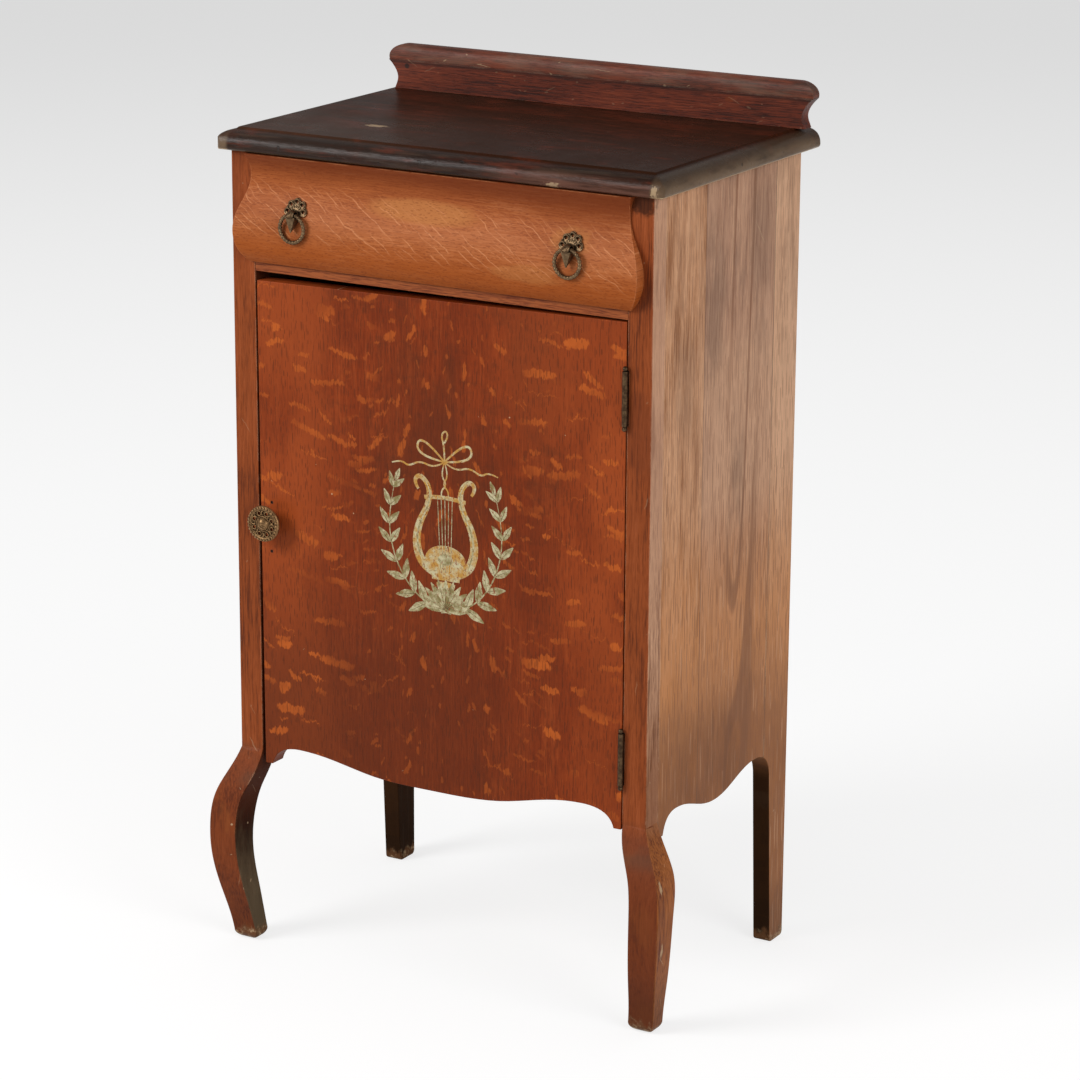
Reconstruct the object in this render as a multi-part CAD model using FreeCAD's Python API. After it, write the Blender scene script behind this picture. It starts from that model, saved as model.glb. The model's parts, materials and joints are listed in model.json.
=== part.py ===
import FreeCAD, Part
import os
from math import cos, radians, sin

os.makedirs("parts", exist_ok=True)
V = FreeCAD.Vector

# Overall sizes of the case, in mm
case_width = 500.0
case_depth = 317.0
case_top = 876.0
leg_height = 224.0
post_width = 28.0
post_depth = 25.0
panel_thickness = 20.0
rear_post_depth = 55.0
tongue_thickness = 7.0
tongue_depth = 8.0
housing_depth = 4.0

# Top board with its thumbnail edge, and the gallery rail
top_thickness = 23.0
top_front_overhang = 9.5
top_side_overhang = 14.0
top_back_overhang = 16.0
thumb_width = 16.0
nose_round = 4.5
nose_slope = 0.15
quirk_width = 2.0
quirk_rise = 2.0
top_corner_radius = 8.0
gallery_overrun = 10.5
gallery_height = 48.5
gallery_thickness = 16.0
gallery_setback = 13.0
gallery_shift = 8.0
lip_height = 17.0
lip_reach = 13.0
lip_undercut = 1.2

# Cabriole front legs: how far the knee and the foot stand out from the post
knee_out = 27.8
knee_front = 24.0
knee_height = 125.0
knee_width = 34.4
knee_depth = 33.5
foot_out = 12.5
foot_front = 3.0
foot_width = 29.5
foot_depth = 23.0
foot_round = 9.5
dowel_radius = 4.0
dowel_length = 60.0

# Rear legs and the shaped lower edge of the sides
rear_leg_top = 41.0
rear_leg_foot = 31.0
rear_foot_round = 5.0
arch_drop = 25.0
side_ear = 12.0
side_ear_drop = 19.0
side_crest = 2.5
side_belly_drop = 15.0

# Inside of the case
back_thickness = 8.0
back_rebate = 6.0
bottom_thickness = 16.0
bottom_lift = 18.0
shelf_count = 4
shelf_thickness = 8.0
shelf_setback = 1.0
drawer_space = 125.0
rail_thickness = 18.0
rail_depth = 50.0
runner_width = 25.0
guide_height = 25.0
guide_gap = 2.0
cleat_size = 20.0

# Door: it sags a little at the free side, as an old door does
door_thickness = 20.0
door_hinge_gap = 1.2
door_free_gap = 1.5
door_free_spread = 2.0
door_top_gap = 2.2
door_stop_gap = 0.4
door_sag = 7.7
door_ear = 9.0
door_ear_drop = 6.5
door_crest = 14.3
door_belly_drop = 3.5

# Butt hinges with ball tips
hinge_inset = 77.0
leaf_length = 56.0
leaf_width = 16.0
leaf_thickness = 1.5
knuckle_radius = 3.0
knuckle_gap = 0.3
hinge_clearance = 0.4
pin_radius = 1.6
pin_clearance = 0.06
pin_overrun = 1.0
ball_radius = 2.7

# Turning knob with its catch
knob_lift = 260.0
knob_inset = 17.5
knob_radius = 19.5
knob_standoff = 18.0
knob_rim = 2.4
knob_web = 2.0
knob_dome = 5.5
knob_holes = 8
knob_hole_radius = 2.0
rosette_radius = 8.0
rosette_thickness = 1.1
neck_radius = 5.0
spindle_radius = 3.0
spindle_clearance = 0.08
spindle_tail = 4.5
catch_grip = 7.0
catch_width = 6.0
catch_thickness = 3.0
catch_room = 1.0

# Drawer with its serpentine front
drawer_back_gap = 19.0
front_thickness = 18.0
front_gap = 0.4
front_side_gap = 1.0
front_overlap = 7.5
front_lift = 0.8
bulge_out = 15.5
bulge_height = 33.0
cove_out = 2.0
cove_height = 92.0
front_top_out = 9.4
front_foot_out = 4.0
end_bulge = 17.5
end_neck = 2.0
end_top = 6.5
end_foot = 5.0
drawer_side_thickness = 12.0
drawer_side_gap = 1.5
drawer_back_thickness = 12.0
drawer_bottom_thickness = 5.0
drawer_bottom_lift = 7.0
drawer_groove = 5.0
drawer_run = 0.3
drawer_headroom = 26.0
dovetail_count = 4
dovetail_length = 10.0
dovetail_flare = 2.0

# Drop ring pulls
pull_inset = 59.0
pull_lift = 57.5
ring_radius = 14.5
ring_wire = 2.2
ring_clearance = 1.1
eye_room = 0.7
eye_wall = 1.9
eye_stem = 3.2
collar_radius = 5.4
collar_thickness = 1.2
collar_seat = 0.2
plate_thickness = 1.3
plate_gap = 0.3
plate_fan = 9.5
plate_lobe = 4.2
plate_lobes = 5
plate_hole = 1.6
bolt_radius = 2.0
bolt_clearance = 0.1
bolt_tail = 2.0
nut_size = 8.0
nut_thickness = 3.0
nut_clearance = 0.05

half = case_width / 2
opening = half - post_width
inner = half - panel_thickness
back = case_depth + top_back_overhang
middle_y = (back - knee_front) / 2
thumb_rise = top_thickness - nose_round - quirk_rise
gallery_length = case_width + 2 * gallery_overrun
bottom_height = leg_height + bottom_lift
rail_height = case_top - drawer_space
rail_top = rail_height + rail_thickness
back_face = case_depth - back_thickness
drawer_depth = back_face - drawer_back_gap
hinge_proud = knuckle_radius + hinge_clearance
knob_x = -opening + knob_inset
knob_height = leg_height + knob_lift
catch_length = knob_inset + catch_grip
front_low = rail_top - front_overlap
front_high = case_top - front_lift
pull_spread = opening - pull_inset
pull_height = front_low + pull_lift
ring_stand = bulge_out + ring_clearance + ring_wire
eye_hole = ring_wire + eye_room
eye_radius = eye_hole + eye_wall
parts = {}


def box(x0, x1, y0, y1, z0, z1):
    return Part.makeBox(x1 - x0, y1 - y0, z1 - z0, V(x0, y0, z0))


def on_front(x, z):
    return V(x, 0, z)


def on_side(y, z):
    return V(0, y, z)


def on_lathe(radius, y):
    return V(radius, y, 0)


def line(a, b):
    return Part.LineSegment(a, b).toShape()


def lines(points):
    return [line(a, b) for a, b in zip(points[:-1], points[1:])]


def arc(a, b, c):
    return Part.Arc(a, b, c).toShape()


def curve(points, start, end):
    spline = Part.BSplineCurve()
    spline.interpolate(Points=points, InitialTangent=start, FinalTangent=end)
    return spline.toShape()


def face(edges):
    return Part.Face(Part.Wire(edges))


def prism(edges, start, run):
    """Closed outline moved to start and extruded along run."""
    solid = face(edges).extrude(run)
    solid.translate(start)
    return solid


def turned(edges):
    """Closed outline turned about the front-to-back axis."""
    return face(edges).revolve(V(0, 0, 0), V(0, 1, 0), 360)


def rod(radius, start, end):
    run = end - start
    return Part.makeCylinder(radius, run.Length, start, run)


def through(radius, x, z):
    """Rod that runs right through the part from front to back."""
    return rod(radius, V(x, -case_depth, z), V(x, 2 * case_depth, z))


def mirrored(shape):
    return shape.mirror(V(0, 0, 0), V(1, 0, 0))


def both_sides(name, shape):
    parts[name + "_right"] = shape
    parts[name + "_left"] = mirrored(shape)


# Top board: two crossed thumbnail mouldings meet in mitres at the front corners
def thumb_edge(at, edge, inward):
    """Round nose that starts at the underside and ends on the flat top."""
    bite = nose_round * (1 - cos(radians(45)))
    low = at(edge + inward * nose_round, case_top)
    tip = at(edge, case_top + nose_round)
    under = arc(low, at(edge + inward * bite, case_top + bite), tip)
    crown = at(edge + inward * thumb_width, case_top + nose_round + thumb_rise)
    nose = curve([tip, crown], at(0, 1), at(inward, nose_slope))
    top = at(edge + inward * (thumb_width + quirk_width), case_top + top_thickness)
    return [under, nose, line(crown, top)], low, top


def make_top_board():
    reach = half + top_side_overhang
    top_z = case_top + top_thickness
    front_edges, low, top = thumb_edge(on_side, -top_front_overhang, 1)
    rim = lines([top, on_side(back, top_z), on_side(back, case_top), low])
    long_way = prism(front_edges + rim, V(-reach, 0, 0), V(2 * reach, 0, 0))
    right_edges, right_low, right_top = thumb_edge(on_front, reach, -1)
    left_edges, left_low, left_top = thumb_edge(on_front, -reach, 1)
    ends = right_edges + [line(right_top, left_top)] + left_edges[::-1] + [line(left_low, right_low)]
    deep_way = prism(ends, V(0, -top_front_overhang, 0), V(0, back + top_front_overhang, 0))
    plan = box(-reach, reach, -top_front_overhang, back, case_top, top_z)
    uprights = [e for e in plan.Edges if abs(e.Length - top_thickness) < 0.01]
    corners = [e for e in uprights if e.CenterOfMass.y < 0]
    return long_way.common(deep_way).common(plan.makeFillet(top_corner_radius, corners))


# Gallery rail: scooped ends under a rounded lip
def gallery_end(side):
    reach = side * gallery_length / 2
    base = on_front(reach - side * lip_reach * 0.7, 0)
    waist = on_front(reach - side * lip_reach, gallery_height * 0.22)
    tip = on_front(reach - side * lip_undercut, gallery_height - lip_height)
    crown = on_front(reach - side * lip_reach * 1.5, gallery_height)
    scoop = curve([base, waist, tip], V(-side * 0.4, 0, 1), V(side, 0, 0.9))
    lip = curve([tip, crown], V(side * 0.3, 0, 1), V(-side, 0, 0.05))
    return [scoop, lip], base, crown


def make_gallery():
    right, right_base, right_crown = gallery_end(1)
    left, left_base, left_crown = gallery_end(-1)
    outline = right + [line(right_crown, left_crown)] + left[::-1] + [line(left_base, right_base)]
    blank = prism(outline, V(0, 0, 0), V(0, gallery_thickness, 0))
    lip_low = gallery_height - lip_height
    quirk = on_side(quirk_width, lip_low)
    crest = on_side(gallery_thickness * 0.65, gallery_height)
    rear_top = on_side(gallery_thickness, gallery_height)
    section = lines([rear_top, on_side(gallery_thickness, 0), on_side(0, 0), on_side(0, lip_low), quirk])
    section.append(curve([quirk, crest], V(0, -0.05, 1), V(0, 1, 0.1)))
    section.append(line(crest, rear_top))
    rail = blank.common(prism(section, V(-gallery_length, 0, 0), V(2 * gallery_length, 0, 0)))
    rail.translate(V(gallery_shift, back - gallery_setback - gallery_thickness, case_top + top_thickness))
    return rail


# Front legs: one S-shaped outline sawn from the front, a second one sawn from the side
def s_curve(at, points, start, end):
    down = at(0, -1)
    top, bend, knee, ankle, foot = [at(*point) for point in points]
    return [curve([top, bend, knee], at(*start), down), curve([knee, ankle, foot], down, at(*end))]


def worn_foot(at, edge, way, radius):
    """Rounded corner under a foot, from the upright face to the floor."""
    bite = radius * (1 - cos(radians(45)))
    return arc(at(edge, radius), at(edge - way * bite, bite), at(edge - way * radius, 0))


def leg_outline(at, outer, hollow):
    """Swelled and hollow side of one sawn outline, joined at the post and round the foot."""
    outer_foot = outer[4][0]
    hollow_foot = hollow[4][0]
    way = 1 if outer_foot > hollow_foot else -1
    sole = line(at(outer_foot - way * foot_round, 0), at(hollow_foot + way * foot_round, 0))
    foot = [worn_foot(at, outer_foot, way, foot_round), sole, worn_foot(at, hollow_foot, -way, foot_round)]
    outside = s_curve(at, outer, (way * 0.3, -1), (-way * 0.12, -1))
    inside = s_curve(at, hollow, (way * 0.05, -1), (-way * 0.12, -1))
    return outside + foot + inside[::-1] + [line(at(*hollow[0]), at(*outer[0]))]


def make_leg():
    bend = leg_height - (leg_height - knee_height) * 0.54
    ankle = knee_height * 0.45
    outer = [(half, leg_height), (half + knee_out * 0.85, bend), (half + knee_out, knee_height),
             (half + (knee_out + foot_out) / 2, ankle), (half + foot_out, foot_round)]
    knee_inside = half + knee_out - knee_width
    foot_inside = half + foot_out - foot_width
    hollow = [(opening, leg_height), (knee_inside - knee_width * 0.13, bend),
              (knee_inside, knee_height * 1.03), ((knee_inside + foot_inside) / 2, ankle),
              (foot_inside, foot_round)]
    front_saw = prism(leg_outline(on_front, outer, hollow), V(0, -half, 0), V(0, 2 * half, 0))
    front = [(0, leg_height), (-knee_front * 0.77, bend), (-knee_front, knee_height),
             (-(knee_front + foot_front) / 2, ankle), (-foot_front, foot_round)]
    knee_back = knee_depth - knee_front
    foot_back = foot_depth - foot_front
    rear = [(post_depth, leg_height), (knee_back + knee_depth * 0.31, bend), (knee_back, knee_height * 0.86),
            ((knee_back + foot_back) / 2, ankle), (foot_back, foot_round)]
    side_saw = prism(leg_outline(on_side, front, rear), V(0, 0, 0), V(2 * half, 0, 0))
    return front_saw.common(side_saw)


def make_dowel():
    centre = V(half - post_width / 2, (post_depth - tongue_depth) / 2, leg_height)
    reach = V(0, 0, dowel_length / 2)
    return rod(dowel_radius, centre - reach, centre + reach)


# Sides: one outline from front post to rear leg, divided at the joint with the rear post
def side_outline():
    span = case_depth - rear_leg_top - post_depth
    ear_z = leg_height - side_ear_drop
    crest_z = leg_height + side_crest
    leg_front = case_depth - rear_leg_foot
    belly = on_side(post_depth + span * 0.5, leg_height - side_belly_drop)
    front_crest = on_side(post_depth + span * 0.155, crest_z)
    rear_crest = on_side(post_depth + span * 0.86, crest_z)
    ear = on_side(post_depth + side_ear, ear_z)
    spring = on_side(case_depth - rear_leg_top, leg_height - arch_drop)
    forward = V(0, -1, 0)
    edges = lines([on_side(post_depth, ear_z), on_side(post_depth, case_top), on_side(case_depth, case_top),
                   on_side(case_depth, rear_foot_round)])
    edges.append(worn_foot(on_side, case_depth, 1, rear_foot_round))
    edges.append(line(on_side(case_depth - rear_foot_round, 0), on_side(leg_front + rear_foot_round, 0)))
    edges.append(worn_foot(on_side, leg_front, -1, rear_foot_round))
    edges.append(line(on_side(leg_front, rear_foot_round), spring))
    edges.append(curve([spring, rear_crest], V(0, -0.1, 1), forward))
    edges.append(curve([rear_crest, belly], forward, forward))
    edges.append(curve([belly, front_crest], forward, forward))
    edges.append(curve([front_crest, ear], forward, V(0, -0.25, -1)))
    edges.append(line(ear, on_side(post_depth, ear_z)))
    return edges


def make_side():
    """Right side panel with a tongue on both upright edges, and the rear post with its leg."""
    blank = prism(side_outline(), V(inner, 0, 0), V(panel_thickness, 0, 0))
    joint = case_depth - rear_post_depth
    panel = blank.common(box(inner, half, 0, joint, 0, case_top))
    post = blank.common(box(inner, half, joint, case_depth, 0, case_top))
    tongue_x = inner + (panel_thickness - tongue_thickness) / 2
    tongue = box(tongue_x, tongue_x + tongue_thickness, post_depth - tongue_depth, joint + tongue_depth,
                 leg_height + tongue_depth, case_top - tongue_depth)
    panel = panel.fuse(tongue).removeSplitter()
    return panel, post.cut(panel).cut(make_back())


# Boards inside the case
def make_back():
    reach = inner + back_rebate
    return box(-reach, reach, back_face, case_depth, bottom_height, case_top)


def housed_board(low, thickness, front):
    reach = inner + housing_depth
    return box(-reach, reach, front, back_face, low, low + thickness)


def make_bottom():
    board = housed_board(bottom_height, bottom_thickness, post_depth)
    nose = box(-opening, opening, door_thickness + door_stop_gap, post_depth, bottom_height,
               bottom_height + bottom_thickness)
    return board.fuse(nose).removeSplitter()


def make_shelves():
    low = bottom_height + bottom_thickness
    room = (rail_height - low - shelf_count * shelf_thickness) / (shelf_count + 1)
    step = room + shelf_thickness
    return [housed_board(low + room + i * step, shelf_thickness, post_depth + shelf_setback)
            for i in range(shelf_count)]


def make_rail():
    rail = box(-opening, opening, 0, rail_depth, rail_height, rail_top)
    shoulder = rail_thickness / 6
    reach = opening + tongue_depth
    tenons = box(-reach, reach, tongue_depth, post_depth - tongue_depth,
                 rail_height + shoulder, rail_top - shoulder)
    return rail.fuse(tenons).removeSplitter()


def make_runner():
    runner = box(inner - runner_width, inner, rail_depth, back_face, rail_height, rail_top)
    guide_x = opening - drawer_side_gap + guide_gap
    guide = box(guide_x, inner, rail_depth, back_face, rail_top, rail_top + guide_height)
    return runner.fuse(guide).removeSplitter()


def make_cleat():
    return box(inner - cleat_size, inner, post_depth, back_face, case_top - cleat_size, case_top)


# Door: serpentine lower edge between two ears, the whole outline sheared by the sag
def make_door():
    right = opening - door_hinge_gap
    left = -opening + door_free_gap
    left_low = left + door_free_spread
    top = rail_height - door_top_gap
    ear_z = leg_height - door_ear_drop

    def at(x, z):
        return V(x, 0, z - door_sag * (right - x) / (right - left))

    def half_edge(side, ear_x):
        crest = at(side * right * 0.79, leg_height + door_crest)
        flank = at(side * right * 0.36, leg_height)
        belly = at(0, leg_height - door_belly_drop)
        inward = V(-side, 0, 0)
        return [curve([at(ear_x, ear_z), crest], V(-side * 0.25, 0, 1), inward),
                curve([crest, flank, belly], inward, inward)]

    edges = lines([at(left_low + door_ear, ear_z), at(left_low, ear_z), at(left, top), at(right, top),
                   at(right, ear_z), at(right - door_ear, ear_z)])
    edges += half_edge(1, right - door_ear)
    edges += half_edge(-1, left_low + door_ear)[::-1]
    return prism(edges, V(0, 0, 0), V(0, door_thickness, 0))


def make_hinge(centre_z):
    """Post leaf with two knuckles, door leaf with one, and the pin with ball tips."""
    axis_x = opening - door_hinge_gap / 2
    axis_y = -hinge_proud
    third = leaf_length / 3
    low = centre_z - leaf_length / 2
    high = centre_z + leaf_length / 2

    def barrel(radius, z0, z1):
        return rod(radius, V(axis_x, axis_y, z0), V(axis_x, axis_y, z1))

    sweep = knuckle_radius + knuckle_gap
    post_leaf = box(opening, opening + leaf_thickness, axis_y, leaf_width, low, high)
    post_leaf = post_leaf.cut(barrel(sweep, low + third, high - third))
    for z in (low, high - third):
        post_leaf = post_leaf.fuse(barrel(knuckle_radius, z, z + third))
    edge = opening - door_hinge_gap
    door_leaf = box(edge - leaf_thickness, edge, axis_y, leaf_width, low, high)
    for z in (low, high - third):
        door_leaf = door_leaf.cut(barrel(sweep, z - knuckle_gap, z + third + knuckle_gap))
    door_leaf = door_leaf.fuse(barrel(knuckle_radius, low + third + knuckle_gap, high - third - knuckle_gap))
    bore = barrel(pin_radius + pin_clearance, low - pin_overrun, high + pin_overrun)
    pin = barrel(pin_radius, low - pin_overrun, high + pin_overrun)
    for z in (low - ball_radius, high + ball_radius):
        pin = pin.fuse(Part.makeSphere(ball_radius, V(axis_x, axis_y, z)))
    return post_leaf.cut(bore).removeSplitter(), door_leaf.cut(bore).removeSplitter(), pin


# Knob: a pierced turned disc on a stem, and the catch that it turns
def make_knob_disc():
    face_y = -knob_standoff
    rear_y = face_y + knob_web
    web_radius = knob_radius - knob_rim
    boss_radius = neck_radius + knob_rim
    web = turned(lines([on_lathe(0, rear_y), on_lathe(web_radius, rear_y), on_lathe(web_radius, face_y),
                        on_lathe(0, face_y), on_lathe(0, rear_y)]))
    rim = Part.makeTorus(web_radius, knob_rim, V(0, (face_y + rear_y) / 2, 0), V(0, 1, 0))
    crown = on_lathe(0, face_y - knob_dome)
    centre = on_lathe(0, face_y)
    edge = on_lathe(boss_radius, face_y)
    swell = on_lathe(boss_radius * 0.72, face_y - knob_dome * 0.65)
    boss = turned([line(crown, centre), line(centre, edge), arc(edge, swell, crown)])
    disc = web.fuse(rim).fuse(boss)
    hole_ring = (boss_radius + web_radius) / 2
    for i in range(knob_holes):
        angle = radians(360 / knob_holes * (i + 0.5))
        disc = disc.cut(through(knob_hole_radius, hole_ring * cos(angle), hole_ring * sin(angle)))
    return disc


def make_knob_stem():
    rear_y = knob_web - knob_standoff
    rosette_y = -door_stop_gap
    flare = arc(on_lathe(neck_radius, rear_y), on_lathe(neck_radius * 0.76, rear_y / 2),
                on_lathe(rosette_radius, rosette_y - rosette_thickness))
    tail_y = door_thickness + spindle_tail
    rest = lines([on_lathe(rosette_radius, rosette_y - rosette_thickness),
                  on_lathe(rosette_radius, rosette_y), on_lathe(spindle_radius, rosette_y),
                  on_lathe(spindle_radius, tail_y), on_lathe(0, tail_y), on_lathe(0, rear_y)])
    return turned([line(on_lathe(0, rear_y), on_lathe(neck_radius, rear_y)), flare] + rest)


def make_catch(stem):
    near = door_thickness + door_stop_gap
    far = near + catch_thickness
    hub = rod(catch_width, V(0, near, 0), V(0, far, 0))
    arm = box(-catch_width / 2, catch_width / 2, near, far, 0, catch_length)
    return hub.fuse(arm).removeSplitter().cut(stem)


def catch_notch():
    """Notch in the back corner of the left post that the turned catch lies in."""
    return box(knob_x - catch_length - catch_room, -opening, door_thickness, post_depth,
               knob_height - catch_width, knob_height + catch_length + catch_room)


# Drawer front: swelled profile from the side, ogee ends from the front
def ogee(at, top, neck, neck_z, bulge, foot):
    """Flared top, hollow neck, bulge and drawn-in foot, as three curves."""
    way = 1 if bulge > neck else -1
    down = V(0, 0, -1)
    points = [at(top, front_high), at(neck, neck_z), at(bulge, front_low + bulge_height), at(foot, front_low)]
    flare = curve(points[0:2], at(-way * 0.5, -1), down)
    swell = curve(points[1:3], down, down)
    tuck = curve(points[2:4], down, at(-way * 0.9, -1))
    return [flare, swell, tuck], points[0], points[3]


def swelled_block(proud):
    """Full-width block behind the swelled face, the face moved forward by proud."""
    edges, top, foot = ogee(on_side, -front_top_out - proud, -cove_out - proud, front_low + cove_height,
                            -bulge_out - proud, -front_foot_out - proud)
    rest = lines([foot, on_side(front_thickness, foot.z), on_side(front_thickness, top.z), top])
    return prism(edges + rest, V(-half, 0, 0), V(case_width, 0, 0))


def front_end(side):
    neck_z = front_high - (front_high - front_low) * 0.17
    return ogee(on_front, side * (opening + end_top), side * (opening + end_neck), neck_z,
                side * (opening + end_bulge), side * (opening + end_foot))


def make_drawer_front():
    right, right_top, right_foot = front_end(1)
    left, left_top, left_foot = front_end(-1)
    outline = right + [line(right_foot, left_foot)] + left[::-1] + [line(left_top, right_top)]
    front = swelled_block(0).common(prism(outline, V(0, -half, 0), V(0, case_width, 0)))
    seat = opening - front_side_gap
    block = box(-seat, seat, -half, half, rail_top + drawer_run, case_top)
    overlay = box(-half, half, -half, -front_gap, 0, case_top)
    return front.common(block.fuse(overlay))


def make_drawer_box():
    outer = opening - drawer_side_gap
    inside = outer - drawer_side_thickness
    low = rail_top + drawer_run
    high = case_top - drawer_headroom
    floor_low = low + drawer_bottom_lift
    floor_high = floor_low + drawer_bottom_thickness
    floor_reach = inside + drawer_groove
    floor = box(-floor_reach, floor_reach, front_thickness - drawer_groove, drawer_depth,
                floor_low, floor_high)
    side = box(inside, outer, front_thickness, drawer_depth, low, high)
    pitch = (high - low) / dovetail_count
    root = front_thickness - dovetail_length
    for i in range(dovetail_count):
        tail_low = low + i * pitch + dovetail_flare
        tail_high = low + (i + 1) * pitch - dovetail_flare
        tail = [on_side(root, tail_low), on_side(front_thickness, tail_low + dovetail_flare),
                on_side(front_thickness, tail_high - dovetail_flare), on_side(root, tail_high)]
        side = side.fuse(prism(lines(tail + tail[:1]), V(inside, 0, 0), V(drawer_side_thickness, 0, 0)))
    rear = box(-inside, inside, drawer_depth - drawer_back_thickness, drawer_depth,
               floor_high, high - drawer_groove)
    return side.removeSplitter(), rear, floor


# Drop pulls: pierced fan plate, turned eye post with bolt, and a ring
def pull_plate(x):
    """Fan of pierced lobes that follows the swelled front."""
    skin = swelled_block(plate_gap + plate_thickness).cut(swelled_block(plate_gap))
    fan = through(plate_fan * 0.75, x, pull_height)
    holes = [through(bolt_radius + bolt_clearance, x, pull_height)]
    for i in range(plate_lobes):
        angle = radians(180 / (plate_lobes - 1) * i)
        lobe_x = x + plate_fan * cos(angle)
        lobe_z = pull_height + plate_lobe / 2 + plate_fan * sin(angle)
        fan = fan.fuse(through(plate_lobe, lobe_x, lobe_z))
        holes.append(through(plate_hole, lobe_x, lobe_z))
    fan = fan.removeSplitter()
    for hole in holes:
        fan = fan.cut(hole)
    return skin.common(fan)


def pull_post(x, surface_y):
    collar_rear = surface_y - plate_gap - plate_thickness - collar_seat
    collar_y = collar_rear - collar_thickness
    tail_y = front_thickness + nut_thickness + bolt_tail
    outline = [on_lathe(0, -ring_stand), on_lathe(eye_stem, -ring_stand), on_lathe(eye_stem, collar_y),
               on_lathe(collar_radius, collar_y), on_lathe(collar_radius, collar_rear),
               on_lathe(bolt_radius, collar_rear), on_lathe(bolt_radius, tail_y), on_lathe(0, tail_y)]
    eye = Part.makeSphere(eye_radius, V(0, -ring_stand, 0))
    reach = V(2 * eye_radius, 0, 0)
    hole = rod(eye_hole, V(0, -ring_stand, 0) - reach, V(0, -ring_stand, 0) + reach)
    post = turned(lines(outline + outline[:1])).fuse(eye).cut(hole)
    post.translate(V(x, 0, pull_height))
    return post


def pull_ring(x):
    return Part.makeTorus(ring_radius, ring_wire, V(x, -ring_stand, pull_height - ring_radius), V(0, 1, 0))


def pull_nut(x):
    across = nut_size / 2
    nut = box(x - across, x + across, front_thickness, front_thickness + nut_thickness,
              pull_height - across, pull_height + across)
    return nut.cut(through(bolt_radius + nut_clearance, x, pull_height))


# Case
parts["top_board"] = make_top_board()
parts["gallery"] = make_gallery()
parts["back_panel"] = make_back()
rail = make_rail()
dowel = make_dowel()
bottom = make_bottom()
shelves = make_shelves()
panel, rear_post = make_side()
for board in shelves + [bottom]:
    panel = panel.cut(board)
    rear_post = rear_post.cut(board)
front_post = box(opening, half, 0, post_depth, leg_height, case_top).cut(panel).cut(rail).cut(dowel)
both_sides("side_panel", panel)
both_sides("rear_post", rear_post)
both_sides("front_post", front_post)
both_sides("front_leg", make_leg().cut(dowel))
both_sides("drawer_runner", make_runner())
both_sides("top_cleat", make_cleat())
parts["leg_dowels"] = Part.makeCompound([dowel, mirrored(dowel)])
parts["bottom_board"] = bottom
parts["drawer_rail"] = rail
for number, board in enumerate(shelves):
    parts["shelf_%d" % (number + 1)] = board

# Door with its hinges and knob
door = make_door()
hinge_low = leg_height - door_ear_drop + hinge_inset
hinge_high = rail_height - door_top_gap - hinge_inset
for name, centre_z in (("upper", hinge_high), ("lower", hinge_low)):
    post_leaf, door_leaf, pin = make_hinge(centre_z)
    parts["front_post_right"] = parts["front_post_right"].cut(post_leaf)
    door = door.cut(door_leaf)
    parts["hinge_%s_post_leaf" % name] = post_leaf
    parts["hinge_%s_door_leaf" % name] = door_leaf
    parts["hinge_%s_pin" % name] = pin
stem = make_knob_stem()
parts["knob_disc"] = make_knob_disc()
parts["catch_tongue"] = make_catch(stem)
parts["knob_stem"] = stem
for name in ("knob_disc", "catch_tongue", "knob_stem"):
    parts[name].translate(V(knob_x, 0, knob_height))
parts["door_panel"] = door.cut(through(spindle_radius + spindle_clearance, knob_x, knob_height))
parts["front_post_left"] = parts["front_post_left"].cut(catch_notch())

# Drawer with its pulls
side, rear, floor = make_drawer_box()
front = make_drawer_front().cut(side).cut(mirrored(side)).cut(floor)
nuts = []
for name, x in (("left", -pull_spread), ("right", pull_spread)):
    surface_y = front.common(through(collar_radius, x, pull_height)).BoundBox.YMin
    front = front.cut(through(bolt_radius + bolt_clearance, x, pull_height))
    parts["pull_plate_" + name] = pull_plate(x)
    parts["pull_post_" + name] = pull_post(x, surface_y)
    parts["ring_" + name] = pull_ring(x)
    nuts.append(pull_nut(x))
parts["drawer_front"] = front
both_sides("drawer_side", side.cut(floor))
parts["drawer_back"] = rear
parts["drawer_bottom"] = floor
parts["pull_nuts"] = Part.makeCompound(nuts)

for name, shape in parts.items():
    shape.translate(V(0, -middle_y, 0))
    shape.exportStep("parts/%s.step" % name)
    print(name, shape.isValid(), len(shape.Solids), round(shape.Volume))
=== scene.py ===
import json
import math

import bmesh
import bpy
from mathutils import Matrix, Vector
from mathutils.bvhtree import BVHTree

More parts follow.
